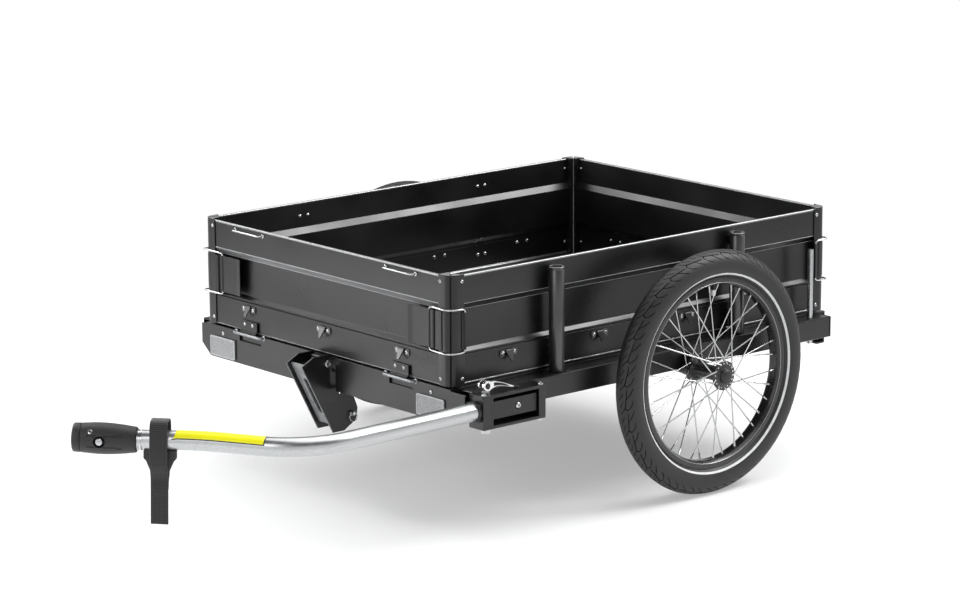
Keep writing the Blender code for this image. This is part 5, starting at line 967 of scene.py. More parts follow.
def moulded_tyre(centre, side):
    """A tyre: turned sidewalls, and a tread laid out flat, wrapped round the crown and grooved."""
    crown, reach, before = [(0.0, CROWN_RADIUS, 0.0)], 0.0, (CROWN_RADIUS, 0.0)
    for radius, height in TYRE_SECTION[:TREAD_EDGE - 1:-1]:
        reach += math.hypot(radius - before[0], height - before[1]) * 1000
        crown.append((reach, radius, height))
        before = (radius, height)
    walls = TYRE_SECTION[:TREAD_EDGE + 1]
    profile = [(radius, -height) for radius, height in walls[::-1]] + list(walls)
    shape = spun(profile, (0.0, 0.0, 0.0), UP, TREAD_PITCHES * PITCH_COLUMNS)
    for face in shape.faces:
        middle = face.calc_center_median()
        if 0.1629 < math.hypot(middle.x, middle.y) < 0.1661 and abs(middle.z) > 0.015:
            face.material_index = 1
    slant = Matrix.Rotation(-side * SLANT * reach / PITCH * math.tau / TREAD_PITCHES, 3, "Z")
    bmesh.ops.rotate(shape, cent=(0, 0, 0), matrix=slant, verts=shape.verts)
    flat, triangles, sunken = tread_pitch(reach)
    grooves = []
    for pitch in range(TREAD_PITCHES):
        for half in (1, -1):
            verts = []
            for across, along in flat:
                above = next((index for index, entry in enumerate(crown) if entry[0] > across), len(crown) - 1)
                low, high = crown[above - 1], crown[above]
                part = (across - low[0]) / (high[0] - low[0])
                radius = low[1] + (high[1] - low[1]) * part
                share = pitch + 0.25 * (1 - half) + (along - SLANT * across) / PITCH
                turn = side * math.tau * share / TREAD_PITCHES
                verts.append(shape.verts.new((radius * math.cos(turn), radius * math.sin(turn),
                                              half * (low[2] + (high[2] - low[2]) * part))))
            for corners, sunk in zip(triangles, sunken):
                face = shape.faces.new([verts[corner] for corner in corners])
                # Groove faces take the darker rubber, which is partly painted shade.
                if sunk:
                    face.material_index = 2
                    grooves.append(face)
    bmesh.ops.remove_doubles(shape, verts=shape.verts, dist=0.00002)
    bmesh.ops.recalc_face_normals(shape, faces=shape.faces)
    bmesh.ops.inset_region(shape, faces=[face for face in grooves if face.is_valid], thickness=0.0003,
                           depth=-0.0021, use_even_offset=True)
    turn = (ACROSS * side).to_track_quat("Z", "Y").to_matrix()
    bmesh.ops.rotate(shape, cent=(0, 0, 0), matrix=turn, verts=shape.verts)
    bmesh.ops.translate(shape, vec=centre, verts=shape.verts)
    return shape


for side_name, side in SIDES:
    body = "wheel_" + side_name
    centre = Vector((side * WHEEL_X, 0.0, WHEEL_RADIUS))
    axis = ACROSS * side
    finished("tyre_tread_" + side_name, moulded_tyre(centre, side), [tyre_rubber, sidewall_line, groove_rubber_with_shade],
             body, ["tyre_" + side_name], angle=40.0)
    rim_half = ((0.1502, 0.0), (0.1502, 0.0060), (0.1520, 0.0098), (0.1572, 0.0104), (0.1584, 0.0112),
                (0.1587, 0.0121), (0.1584, 0.0129), (0.1576, 0.0130), (0.1500, 0.0130), (0.1490, 0.0126),
                (0.1464, 0.0092), (0.1456, 0.0070), (0.1455, 0.0030), (0.1458, 0.0))
    section = list(rim_half) + [(radius, -height) for radius, height in rim_half[-2:0:-1]]
    rim = spun(section, centre, axis, 160, closed=True)
    finished("box_rim_" + side_name, rim, [black_anodised], body,
             ["rim_" + side_name], angle=30.0)
    # The turned edge of the rim shines where the brake track ends.
    glint = spun([(0.1494, 0.01295), (0.1497, 0.01325), (0.1503, 0.01325), (0.1506, 0.01295)], centre, axis, 160,
                 closed=True)
    finished("rim_edge_" + side_name, glint, [sawn_edge], body)

    half = 0.0627 / 2
    hub_half = ((0.0066, half + 0.0045), (0.0128, half + 0.0045), (0.0134, half + 0.0038), (0.0136, half + 0.0026),
                (0.0158, half + 0.0014), (0.0236, half + 0.0014), (0.0245, half + 0.0006), (0.0245, half - 0.0006),
                (0.0236, half - 0.0014), (0.0160, half - 0.0014), (0.0140, half - 0.0040), (0.0126, half - 0.0080),
                (0.0120, 0.012), (0.0120, 0.0))
    section = list(hub_half) + [(radius, -height) for radius, height in hub_half[-2::-1]]
    hub = spun(section, centre, axis, 48, closed=True)
    finished("hub_shell_" + side_name, hub, [black_anodised], body,
             ["spoked_hub_" + side_name], angle=32.0)

    # Thirty-six spokes that lean forward and back by turns; a plated nipple screws each into the rim.
    wires, nipples, heads, eyelets = [], [], [], []
    for flange in (-1, 1):
        for index in range(18):
            lead = 1 if index % 2 else -1
            hole = math.radians(20.0 * index + 2.5 + (10.0 if flange > 0 else 0.0))
            away = hole + math.radians(lead * 20.0 * 2)
            inner = centre + Vector((flange * half + lead * 0.0021,
                                     0.0205 * math.cos(hole), 0.0205 * math.sin(hole)))
            outer = centre + Vector((flange * 0.0022, 0.1456 * math.cos(away), 0.1456 * math.sin(away)))
            run = (outer - inner).normalized()
            wires.append(rod([inner - run * 0.0008, inner + run * 0.004, outer - run * 0.008], 0.00112, 8))
            nipples.append(spun([(0.0, 0.0), (0.0020, 0.0), (0.0020, 0.0028), (0.0016, 0.0034), (0.0015, 0.0118),
                                 (0.0011, 0.0124), (0.0, 0.0124)], outer + run * 0.0004, -run, 8))
            outside = centre + Vector((flange * (half + 0.0014), 0.0196 * math.cos(hole), 0.0196 * math.sin(hole)))
            heads.append(spun([(0.0, 0.0012), (0.0009, 0.0010), (0.0015, 0.0003), (0.0015, -0.0004),
                               (0.0, -0.0004)], outside, ACROSS * flange, 8))
            eyelets.append(rod([inner - run * 0.0008, outside - ACROSS * flange * 0.0030], 0.0009, 6))
    finished("spokes_" + side_name, together(*wires), [stainless_wire], body, angle=50.0)
    finished("spoke_nipples_" + side_name, together(*nipples), [zinc_plate], body, angle=50.0)
    finished("spoke_heads_" + side_name, together(*heads, *eyelets), [stainless_wire], body,
             angle=50.0)

    cap_base = side * (WHEEL_X + half + 0.0045 + 0.0003)
    dome = spun([(0.0, 0.0075), (0.0040, 0.0072), (0.0078, 0.0062), (0.0104, 0.0046), (0.0118, 0.0028),
                 (0.0122, 0.0010), (0.0122, 0.0), (0.0, 0.0)], (cap_base, 0.0, WHEEL_RADIUS), axis, 40)
    finished("hub_dust_cap_" + side_name, dome, [moulded_nylon], body, ["hub_cap_" + side_name])

    lean = math.radians(2.5)
    valve_axis = UP * math.cos(lean) + ALONG * math.sin(lean)
    root = centre + valve_axis * 0.1450
    stem = spun([(0.0, 0.0), (0.0036, 0.0), (0.0036, -0.0012), (0.0029, -0.0018), (0.0029, -0.0094),
                 (0.0, -0.0094)], root, valve_axis, 20)
    cap = spun([(0.0, -0.0090), (0.0041, -0.0090), (0.0041, -0.0162), (0.0032, -0.0182), (0.0, -0.0188)],
               root, valve_axis, 12)
    finished("valve_stem_" + side_name, stem, [tyre_rubber], body, ["valve_" + side_name])
    finished("valve_cap_" + side_name, cap, [white_cap], body, angle=30.0)

# Drawbar bracket
# An aluminium casting bolted to the left rail: two plates, a web and two blocks round the sleeve.
# Bolts pass down through the blocks; their heads are zinc-plated and their nuts sit below.
BRACKET_IN = 0.3518
BRACKET_OUT = 0.3863
TUBE_X = 0.3680
TUBE_Z = 0.2125
SKEWER_Y = -0.4576
half = 0.0144
outline = fillet([(-0.4780, BRACKET_IN, 0.0010), (-0.3480, BRACKET_IN, 0.0010), (-0.3480, BRACKET_OUT, 0.0025),
                  (-0.4780, BRACKET_OUT, 0.0025)])
top, bottom = (plate([outline, ring_hole((SKEWER_Y, TUBE_X), 0.0043)], 0.0050, (0.0, 0.0, height), ALONG, ACROSS,
                     0.0006) for height in (0.2360, 0.1870))
web = block((BRACKET_IN, -0.4575, 0.1885), (BRACKET_IN + 0.0016, -0.3615, 0.2340))
front_frame = plate([fillet([(BRACKET_IN, 0.1885), (BRACKET_OUT - 0.0003, 0.1885), (BRACKET_OUT - 0.0003, 0.2340),
                             (BRACKET_IN, 0.2340)]),
                     fillet([(TUBE_X - half, TUBE_Z - half, 0.003), (TUBE_X + half, TUBE_Z - half, 0.003),
                             (TUBE_X + half, TUBE_Z + half, 0.003), (TUBE_X - half, TUBE_Z + half, 0.003)])],
                    0.0208, (0.0, -0.4676, 0.0), ACROSS, UP, 0.0005)
rear_block = block((BRACKET_IN, -0.3619, 0.1885), (BRACKET_OUT - 0.0003, -0.3482, 0.2340))
finished("bracket_casting", together(top, bottom, web, front_frame), [powder_coat], "chassis",
         ["drawbar_bracket"], angle=15.0)
finished("bracket_rear_block", rear_block, [powder_coat], "chassis", soften=0.0012)
# Raised ribs cast round the window, and the collar where the tube goes in.
ribs = [block((BRACKET_OUT - 0.0012, front, 0.1885), (BRACKET_OUT - 0.0001, rear, 0.2340))
        for front, rear in ((-0.4780, -0.4742), (-0.4610, -0.4572), (-0.3628, -0.3600))]
finished("bracket_ribs", together(*ribs), [powder_coat], "chassis", soften=0.0003)
bolts = []
for x, y, radius in ((0.3800, -0.4715, 0.0041), (0.3800, -0.3550, 0.0052)):
    bolts.append(spun([(0.0, 0.0014), (radius * 0.4, 0.0014), (radius * 0.5, 0.0030), (radius * 0.88, 0.0027),
                       (radius, 0.0014), (radius, 0.0), (0.0, 0.0)], (x, y, 0.2385), UP, 16))
for x, y in ((0.3800, -0.4715), (0.3800, -0.3550)):
    bolts.append(spun([(0.0, 0.0), (0.0040, 0.0), (0.0040, -0.0026), (0.0034, -0.0032), (0.0022, -0.0032),
                       (0.0022, -0.0050), (0.0, -0.0050)], (x, y, 0.1845), UP, 6))
bolts.append(button_screw((BRACKET_OUT - 0.0060, -0.4017, TUBE_Z), ACROSS, 0.0052, 0.0030))
washer = spun([(0.0, 0.0), (0.0100, 0.0), (0.0105, -0.0005), (0.0105, -0.0026), (0.0, -0.0026)],
              (BRACKET_OUT - 0.0060, -0.4017, TUBE_Z), ACROSS, 32)
finished("bracket_bolts", together(*bolts), [zinc_plate], "chassis", angle=30.0)
finished("bracket_washer", washer, [steel_paint], "chassis", angle=30.0)

# Quick release
# A polished aluminium cam lever on a steel skewer clamps the bracket's fork on the drawbar's sleeve.
# Its ring turns on a cross pin; the arm is pierced and its tip is dipped in black plastic.

# Polished aluminium: cast and tumbled, with soft ripples left by the tumbling.
polished_aluminium, tree, shader, place = start_material("polished_aluminium", 0.16, 1.0)
ripple = noise(tree, place, 140.0, 3.0)
two_tones(tree, shader, "#d5d6d7", "#ededee", ripple)
vary_roughness(tree, shader, 0.10, 0.24, ripple)
add_bump(tree, shader, ripple, 0.0001, 0.4)

coat_node("skewer", zinc_plate)
cam = Vector((TUBE_X, SKEWER_Y, 0.2505))
arm = [(0.0087 * math.cos(math.radians(turn)), 0.0087 * math.sin(math.radians(turn)))
       for turn in range(50, 311, 13)]
arm += [(0.0130, -0.0040), (0.0200, -0.0032), (0.0320, -0.0052), (0.0450, -0.0086), (0.0560, -0.0112),
        (0.0560, -0.0080), (0.0450, -0.0040), (0.0320, 0.0012), (0.0200, 0.0048), (0.0130, 0.0070)]
slot_hole = [(0.0128, -0.0014), (0.0200, -0.0010), (0.0310, -0.0030), (0.0420, -0.0060), (0.0410, -0.0052),
             (0.0310, -0.0006), (0.0200, 0.0024), (0.0128, 0.0038)]
lever = plate([arm, ring_hole((0.0, 0.0), 0.0046, 20), slot_hole], 0.0050, cam + ACROSS * 0.0035, ALONG, UP,
              0.0009)
cheek = plate([ring_hole((0.0, 0.0), 0.0087, 32), ring_hole((0.0, 0.0), 0.0046, 20)], 0.0032,
              cam - ACROSS * 0.0072, ALONG, UP, 0.0006)
finished("release_lever", together(lever, cheek), [polished_aluminium], "quick_release",
         ["quick_release_lever"], angle=20.0)
tip = plate([[(0.0530, -0.0108), (0.0600, -0.0124), (0.0646, -0.0122), (0.0660, -0.0108), (0.0650, -0.0092),
              (0.0600, -0.0086), (0.0530, -0.0068)]], 0.0060, cam + ACROSS * 0.0035, ALONG, UP, 0.0010)
finished("release_lever_tip", tip, [moulded_nylon], "quick_release", angle=40.0)
pin = spun([(0.0, 0.0066), (0.0022, 0.0066), (0.0030, 0.0060), (0.0039, 0.0056), (0.0039, -0.0088),
            (0.0034, -0.0094), (0.0022, -0.0098), (0.0, -0.0098)], cam, ACROSS, 24)
finished("release_cross_pin", pin, [steel_paint], "quick_release")

# Drawbar
# A brushed and lacquered aluminium tube, 29.8 mm thick, bent twice to reach the bicycle's axle.
# Its straight end is glued into a nylon sleeve; a plain yellow film is stuck on the long run.


def bent_route(corners, radii, steps):
    """A bent tube's centre line: straight runs between corners, each with its own radius."""
    route = [Vector(corners[0])]
    for before, corner, after, radius in zip(corners, corners[1:], corners[2:], radii):
        corner = Vector(corner)
        behind = (Vector(before) - corner).normalized()
        ahead = (Vector(after) - corner).normalized()
        angle = behind.angle(ahead) / 2
        middle = corner + (behind + ahead).normalized() * radius / math.sin(angle)
        start, end = (corner + way * radius / math.tan(angle) for way in (behind, ahead))
        route += [middle + (start.lerp(end, step / steps) - middle).normalized() * radius
                  for step in range(steps + 1)]
    return route + [Vector(corners[-1])]


TUBE_RADIUS = 0.0149
HITCH_TIP = Vector((0.0845, -1.0360, 0.2145))
INNER_BEND = Vector((0.2280, -0.8980, 0.2095))
hitch_back = (INNER_BEND - HITCH_TIP).normalized()
tube_route = bent_route([(TUBE_X, -0.4848, TUBE_Z), (TUBE_X, -0.5000, TUBE_Z), (0.3730, -0.8150, 0.2115),
                         INNER_BEND + UP * 0.0028, HITCH_TIP + hitch_back * 0.058], (0.50, 0.13, 0.30), 14)

# Brushed aluminium: fine lines along the tube, drawn 3 mm apart, under thin lacquer.
brushed_aluminium, tree, shader, place = start_material("brushed_aluminium", 0.30, 1.0)
lines = add_node(tree, "ShaderNodeMapping", values={"Scale": (300.0, 8.0, 300.0)}, links={"Vector": place})
lines = noise(tree, lines.outputs[0], 1.0, 4.0)
two_tones(tree, shader, "#b0b2b3", "#cfd1d2", lines)
vary_roughness(tree, shader, 0.24, 0.38, lines)
add_bump(tree, shader, lines, 0.00008, 0.5)

finished("drawbar_bent_tube", rod(tube_route, TUBE_RADIUS, 48), [brushed_aluminium], "drawbar",
         ["drawbar_tube"], angle=50.0)
coat_node("drawbar_sleeve", moulded_nylon)

# Yellow film: cast vinyl, glossy, a little uneven where it lies on the tube.
yellow_film, tree, shader, place = start_material("yellow_cast_vinyl", 0.30)
lie = noise(tree, place, 60.0)
two_tones(tree, shader, "#f4ee00", "#fff70a", lie)
add_bump(tree, shader, lie, 0.0002, 0.3)

# The film wraps the upper front quarter of the tube from beside the strap to the outer bend.
FILM_THICKNESS = 0.00016


def wrapped(route, start_degrees, end_degrees, radius, columns=10, slant=0.0):
    """A skin on a tube's line, between two angles from straight up; its first end may slant."""
    shape = bmesh.new()
    rows = []
    for index, point in enumerate(route):
        ahead = (route[min(index + 1, len(route) - 1)] - route[max(index - 1, 0)]).normalized()
        sideways = ahead.cross(UP).normalized()
        top = sideways.cross(ahead)
        row = []
        for column in range(columns + 1):
            turn = math.radians(start_degrees + (end_degrees - start_degrees) * column / columns)
            shift = ahead * slant * (column / columns) ** 2 if index == 0 else Vector()
            out = (top * math.cos(turn) + sideways * math.sin(turn)) * radius
            row.append(shape.verts.new(point + shift + out))
        rows.append(row)
    for row, following in zip(rows, rows[1:]):
        for column in range(columns):
            shape.faces.new((row[column], row[column + 1], following[column + 1], following[column]))
    return shape


film_line = [point for point in tube_route if 0.196 < point.x < 0.318 and point.y < -0.80]
film_line = [HITCH_TIP + hitch_back * (0.1345 + 0.0160 * step) + UP * 0.0003 * (step + 1) for step in range(2)] \
    + film_line[::-1]
film_line.append(film_line[-1] + (film_line[-1] - film_line[-2]).normalized() * 0.0040)
shape = wrapped(film_line, -20.0, 66.0, 0.01502, 12, 0.010)
bmesh.ops.recalc_face_normals(shape, faces=shape.faces)
film = finished("drawbar_film", shape, [yellow_film], "drawbar", angle=60.0)
last, onward = film_line[-1], (film_line[-1] - film_line[-2]).normalized()
edging = together(wrapped([film_line[0]] + film_line[1:], 65.0, 71.0, 0.01505, 2),
                  wrapped([film_line[0] + hitch_back * 0.0008, film_line[0] + hitch_back * 0.0110], 34.0, 66.5,
                          0.01496, 5),
                  wrapped([last, last + onward * 0.0014], -20.0, 71.0, 0.01505, 12))
border = finished("drawbar_film_border", edging, [moulded_nylon], "drawbar", angle=60.0)
for piece in (film, border):
    wall = piece.modifiers.new("Film thickness", "SOLIDIFY")
    wall.thickness = FILM_THICKNESS
    wall.offset = 1.0

# Hitch
# The coupling that clips on the pin of the bicycle's axle: two moulded nylon shells round a steel core.
# A steel button releases it; a small lock sits above, and two finger grooves run along each side.


def bored(shape, *tools):
    """Cut closed shapes out of a solid."""
    names = ("bored_piece", "bored_by")
    holders = []
    for name, part in zip(names, (shape, together(*tools))):
        mesh = bpy.data.meshes.new(name)
        bmesh.ops.recalc_face_normals(part, faces=part.faces)
        part.to_mesh(mesh)
        part.free()
        holder = bpy.data.objects.new(name, mesh)
        scene.collection.objects.link(holder)
        holders.append(holder)
    cut = holders[0].modifiers.new("Bore", "BOOLEAN")
    cut.object = holders[1]
    cut.solver = "EXACT"
    mesh = bpy.data.meshes.new_from_object(holders[0].evaluated_get(bpy.context.evaluated_depsgraph_get()))
    result = bmesh.new()
    result.from_mesh(mesh)
    bpy.data.meshes.remove(mesh)
    for holder in holders:
        bpy.data.objects.remove(holder, do_unlink=True)
    return result


facing = UP.cross(hitch_back).normalized()
if facing.x < 0:
    facing = -facing
SHELL_STOUTNESS = 1.06
SHELL_SHIFT = 0.0014
shell = [(0.0, 0.0980), (0.0164, 0.0980), (0.0182, 0.0968), (0.0186, 0.0955), (0.0196, 0.0870), (0.0207, 0.0780),
         (0.0216, 0.0680), (0.0223, 0.0580), (0.0227, 0.0480), (0.0227, 0.0380), (0.0224, 0.0300), (0.0219, 0.0240),
         (0.0214, 0.0142), (0.0208, 0.0136), (0.0199, 0.0134), (0.0199, 0.0126), (0.0209, 0.0122), (0.0212, 0.0114),
         (0.0209, 0.0020), (0.0202, 0.0006), (0.0192, 0.0), (0.0140, 0.0), (0.0125, 0.0012), (0.0120, 0.0300),
         (0.0, 0.0300)]
body_shape = spun([(radius * SHELL_STOUTNESS, station + SHELL_SHIFT) for radius, station in shell], HITCH_TIP,
                  hitch_back, 60)
bmesh.ops.recalc_face_normals(body_shape, faces=body_shape.faces)
grooves = []
for face in body_shape.faces:
    middle = face.calc_center_median() - HITCH_TIP
    station = middle.dot(hitch_back)
    if 0.024 < station < 0.078 and face.normal.dot(middle - hitch_back * station) > 0 \
            and 0.0066 < abs(middle.z - hitch_back.z * station) < 0.0104 \
            and (middle - hitch_back * station).length > 0.019:
        grooves.append(face)
bmesh.ops.inset_region(body_shape, faces=grooves, thickness=0.0005, depth=-0.0010, use_even_offset=True)
button_seat = HITCH_TIP + hitch_back * 0.0445 + facing * 0.0013
lock_seat = HITCH_TIP + hitch_back * 0.0305
lock_out = (facing * 0.80 + UP * 0.60).normalized()
room = spun([(0.0, 0.0125), (0.0090, 0.0125), (0.0090, 0.0400), (0.0, 0.0400)], button_seat, facing, 32)
tube_room = spun([(0.0, 0.0577), (0.0152, 0.0577), (0.0152, 0.1200), (0.0, 0.1200)], HITCH_TIP, hitch_back, 32)
finished("hitch_shell", bored(body_shape, room, tube_room), [moulded_nylon], "drawbar",
         ["hitch_body"], angle=38.0)
collar = spun([(0.0088, 0.0165), (0.0088, 0.0222), (0.0094, 0.0230), (0.0104, 0.0226), (0.0110, 0.0165)],
              button_seat, facing, 32, closed=True)
finished("hitch_button_collar", collar, [moulded_nylon], "drawbar")
button = spun([(0.0, 0.0240), (0.0030, 0.0240), (0.0050, 0.0235), (0.0058, 0.0224), (0.0058, 0.0162),
               (0.0, 0.0162)], button_seat, facing, 32)
finished("hitch_push_button", button, [zinc_plate], "hitch_button", ["hitch_button"])
lock = spun([(0.0, 0.0009), (0.0027, 0.0010), (0.0036, 0.0006), (0.0036, -0.0030), (0.0, -0.0030)],
            lock_seat + lock_out * 0.0231, lock_out, 20)
keyway = drawn([(-0.0005, -0.0018), (0.0005, -0.0018), (0.0005, 0.0018), (-0.0005, 0.0018)], 0.0008,
               lock_seat + lock_out * 0.0241, hitch_back, hitch_back.cross(lock_out))
finished("hitch_lock", lock, [zinc_plate], "drawbar")
finished("hitch_keyway", keyway, [steel_paint], "drawbar")
# A pressed steel ferrule closes the shells on the tube.
ferrule = spun([(0.01495, 0.0993), (0.0158, 0.0993), (0.0162, 0.1001), (0.0162, 0.1018), (0.0156, 0.1026),
                (0.0156, 0.1048), (0.0160, 0.1054), (0.0160, 0.1068), (0.01495, 0.1072)], HITCH_TIP, hitch_back, 48,
               closed=True)
finished("hitch_ferrule", ferrule, [zinc_plate], "drawbar")

# Safety strap
# A 27 mm polyester webbing loop that goes round the bicycle's frame, hung over the drawbar.
# It is sewn back on itself below a moulded keeper, and its tail is heat sealed.

# Polyester webbing: twill ribs 2 mm apart across the strap, cut by a 3 mm weave along it.
webbing, tree, shader, place = start_material("black_polyester_webbing", 0.80)
weave_place = add_node(tree, "ShaderNodeUVMap", {"uv_map": "weave"}).outputs["UV"]
ribs = add_node(tree, "ShaderNodeTexWave", {"bands_direction": "X"}, {"Scale": 160.0, "Distortion": 0.3},
                {"Vector": weave_place})
picks = add_node(tree, "ShaderNodeTexWave", {"bands_direction": "Y"}, {"Scale": 105.0, "Distortion": 0.3},
                 {"Vector": weave_place})
cloth = add_node(tree, "ShaderNodeMath", {"operation": "MULTIPLY"},
                 links={0: ribs.outputs["Fac"], 1: picks.outputs["Fac"]})
two_tones(tree, shader, "#1f1f20", "#3b3b3c", cloth.outputs[0])
shader.inputs["Sheen Weight"].default_value = 0.25
shader.inputs["Sheen Roughness"].default_value = 0.5
add_bump(tree, shader, cloth.outputs[0], 0.0004, 0.8)

strap_place = HITCH_TIP + hitch_back * 0.1338
strap_side = facing
strap_up = strap_side.cross(hitch_back).normalized()
if strap_up.z < 0:
    strap_up = -strap_up


def eased(points, steps=6):
    """More points on a smooth line through the given ones."""
    points = [Vector(point) for point in points]
    line = []
    for index in range(len(points) - 1):
        before, start, end, after = (points[max(index - 1, 0)], points[index], points[index + 1],
                                     points[min(index + 2, len(points) - 1)])
        for step in range(steps):
            t = step / steps
            line.append(start * (1 + t * t * (2 * t - 3)) + end * t * t * (3 - 2 * t)
                        + (end - before) * 0.5 * t * (1 - t) ** 2 - (after - start) * 0.5 * t * t * (1 - t))
    return line + [points[-1]]


def ribbon(name, line, width, thickness, material, body, replaces=()):
    """A flat strap along a line of (across, height) points, with a weave map in metres."""
    shape = bmesh.new()
    weave = shape.loops.layers.uv.new("weave")
    columns = 6
    rows, travelled = [], [0.0]
    for before, after in zip(line, line[1:]):
        travelled.append(travelled[-1] + (Vector(after) - Vector(before)).length)
    for across, height in line:
        base = strap_place + strap_side * across + strap_up * height
        rows.append([shape.verts.new(base + hitch_back * width * (column / columns - 0.5))
                     for column in range(columns + 1)])
    for index in range(len(rows) - 1):
        for column in range(columns):
            corners = ((index, column), (index + 1, column), (index + 1, column + 1), (index, column + 1))
            face = shape.faces.new([rows[row][place_in_row] for row, place_in_row in corners])
            for loop, (row, place_in_row) in zip(face.loops, corners):
                loop[weave].uv = (width * place_in_row / columns, travelled[row])
    piece = finished(name, shape, [material], body, replaces, angle=180.0)
    wall = piece.modifiers.new("Webbing thickness", "SOLIDIFY")
    wall.thickness = thickness
    wall.offset = 0.0
    edge = piece.modifiers.new("Woven edge", "BEVEL")
    edge.width = 0.0005
    edge.segments = 2
    edge.limit_method = "ANGLE"
    edge.angle_limit = math.radians(60.0)


half, top, join = 0.0178, 0.0325, -0.0550
STRAP_WIDTH, STRAP_THICKNESS, STRAP_FOOT = 0.027, 0.0020, -0.129
strap_route = eased([(half * 0.29, STRAP_FOOT), (half * 0.31, join * 1.7), (half * 0.34, join * 1.18),
                     (half * 0.42, join), (half * 0.86, join * 0.62), (half, -top * 0.37), (half, top * 0.37),
                     (half * 0.93, top * 0.74), (half * 0.72, top * 0.93), (half * 0.35, top), (-half * 0.35, top),
                     (-half * 0.72, top * 0.93), (-half * 0.93, top * 0.74), (-half, top * 0.37),
                     (-half, -top * 0.37), (-half * 0.86, join * 0.62), (-half * 0.225, join * 0.985),
                     (half * 0.055, join * 1.11), (half * 0.170, join * 1.36)], 5)
ribbon("safety_strap_webbing", strap_route, STRAP_WIDTH, STRAP_THICKNESS, webbing, "strap", ["safety_strap"])
# Box stitching where the two layers are sewn, in slightly paler thread.
thread, tree, shader, place = start_material("grey_polyester_thread", 0.7)
twist = noise(tree, place, 600.0)
two_tones(tree, shader, "#3a3a3b", "#59595a", twist)


def stitch(centre, way):
    """One thread that comes out of the webbing and goes back in, 1.4 mm further on."""
    return rod([centre - way * 0.0007, centre + strap_side * 0.00025, centre + way * 0.0007], 0.00028, 5)


stitches = []
for row in (-0.0085, 0.0085):
    for index in range(9):
        height = join * 1.12 - 0.0022 * index
        centre = strap_place + strap_side * (half * 0.37 + 0.00115) + strap_up * height + hitch_back * row
        stitches.append(stitch(centre, strap_up))
for height in (join * 1.10, join * 1.48):
    for index in range(8):
        centre = strap_place + strap_side * (half * 0.37 + 0.00115) + strap_up * height \
            + hitch_back * (-0.0077 + 0.0022 * index)
        stitches.append(stitch(centre, hitch_back))
finished("strap_stitching", together(*stitches), [thread], "strap")

# Strap keeper
# A moulded nylon saddle that clips under the tube and keeps the two layers of the strap apart.
# Its wings stand out fore and aft, and a waist below them guides the webbing.
keeper = plate([fillet([(-0.0250, -0.0085), (-0.0250, -0.0270, 0.003), (-0.0210, -0.0310, 0.003),
                        (-0.0135, -0.0490, 0.003), (0.0135, -0.0490, 0.003), (0.0210, -0.0310, 0.003),
                        (0.0250, -0.0270, 0.003), (0.0250, -0.0085)])],
               0.0110, strap_place, hitch_back, strap_up, 0.0010)
saddle_room = spun([(0.0, -0.06), (0.0152, -0.06), (0.0152, 0.06), (0.0, 0.06)], strap_place, hitch_back, 48)
finished("strap_keeper_moulding", bored(keeper, saddle_room), [moulded_nylon], "strap",
         ["strap_keeper"], angle=38.0)

# Front cradle
# A stamped steel channel, painted black, that leans under the front beam and pivots on a bolt.
# Its web is slotted; two rounded guide posts and a lug on the beam keep it in line.

# Cradle highlight: a grey painted highlight for the channel's web and the edges of its mouth, mottled in patches.
cradle_highlight_paint, tree, shader, place = start_material("cradle_painted_highlight_grey", 0.42, ior=1.6)
highlight_mottle = noise(tree, place, 90.0, 3.0)
two_tones(tree, shader, "#4c4d4e", "#97989a", highlight_mottle)
add_bump(tree, shader, highlight_mottle, 0.0001, 0.5)

CRADLE_PIVOT = (-0.4954, 0.2295)
CHEEK_X = 0.01975
nose, toe = Vector((-0.5466, 0.2307)), Vector((-0.4842, 0.1116))
lean = (toe - nose).normalized()
square = Vector((-lean.y, lean.x))
shoulder = nose + square * ((0.2432 - nose.y) / square.y)
outline = fillet([(*nose, 0.0012), (*shoulder, 0.0025), (-0.4900, 0.2432, 0.003), (-0.4868, 0.2340, 0.004),
                  (-0.4830, 0.2200, 0.006), (-0.4473, 0.1827, 0.010), (-0.4333, 0.1460, 0.008),
                  (-0.4365, 0.1264, 0.008), (-0.4618, 0.1116, 0.006), (*toe, 0.0020)])
cheeks = [plate([outline, ring_hole(CRADLE_PIVOT, 0.0034, 20), ring_hole((-0.4700, 0.1760), 0.0024, 16)], 0.0025,
                (side * CHEEK_X, 0.0, 0.0), ALONG, UP, 0.0006) for side in (-1, 1)]
length = (toe - nose).length
web_middle = nose + square * 0.0085 + lean * length * 0.5
web_axis = Vector((0.0, lean.x, lean.y))
reach = length / 2 - 0.004
slot_half, slot_width = 0.035, 0.0045
slot_outline = fillet([(-slot_half, -slot_width, slot_width * 0.99), (slot_half, -slot_width, slot_width * 0.99),
                       (slot_half, slot_width, slot_width * 0.99), (-slot_half, slot_width, slot_width * 0.99)], 6)
web_plate = plate([[(-reach, -0.0188), (reach - 0.006, -0.0188), (reach - 0.006, 0.0188), (-reach, 0.0188)],
                   slot_outline], 0.0036, (0.0, web_middle.x, web_middle.y), web_axis, ACROSS, 0.0004)
finished("cradle_channel", together(*cheeks), [steel_paint], "cradle",
         ["front_cradle"], angle=18.0)
# The web is painted grey as a painted highlight.
finished("cradle_web", web_plate, [cradle_highlight_paint], "cradle", angle=18.0)
# A clevis pin crosses the channel's foot; a split ring hangs in its end.
pin = rod([(-0.0250, -0.4470, 0.1390), (0.0290, -0.4470, 0.1390)], 0.0030, 20)
head = spun([(0.0, 0.0030), (0.0030, 0.0026), (0.0044, 0.0012), (0.0044, -0.0006), (0.0, -0.0006)],
            (0.0222, -0.4470, 0.1390), ACROSS, 20)
ring_line = [(0.0268 + 0.0022 * math.sin(math.tau * step / 24), -0.4470 + 0.0062 * math.sin(math.tau * step / 24),
              0.1330 + 0.0070 * math.cos(math.tau * step / 24)) for step in range(24)]
finished("cradle_cross_pin", together(pin, head), [zinc_plate], "cradle")
finished("cradle_split_ring", rod(ring_line, 0.0007, 8, cyclic=True), [stainless_wire], "cradle")
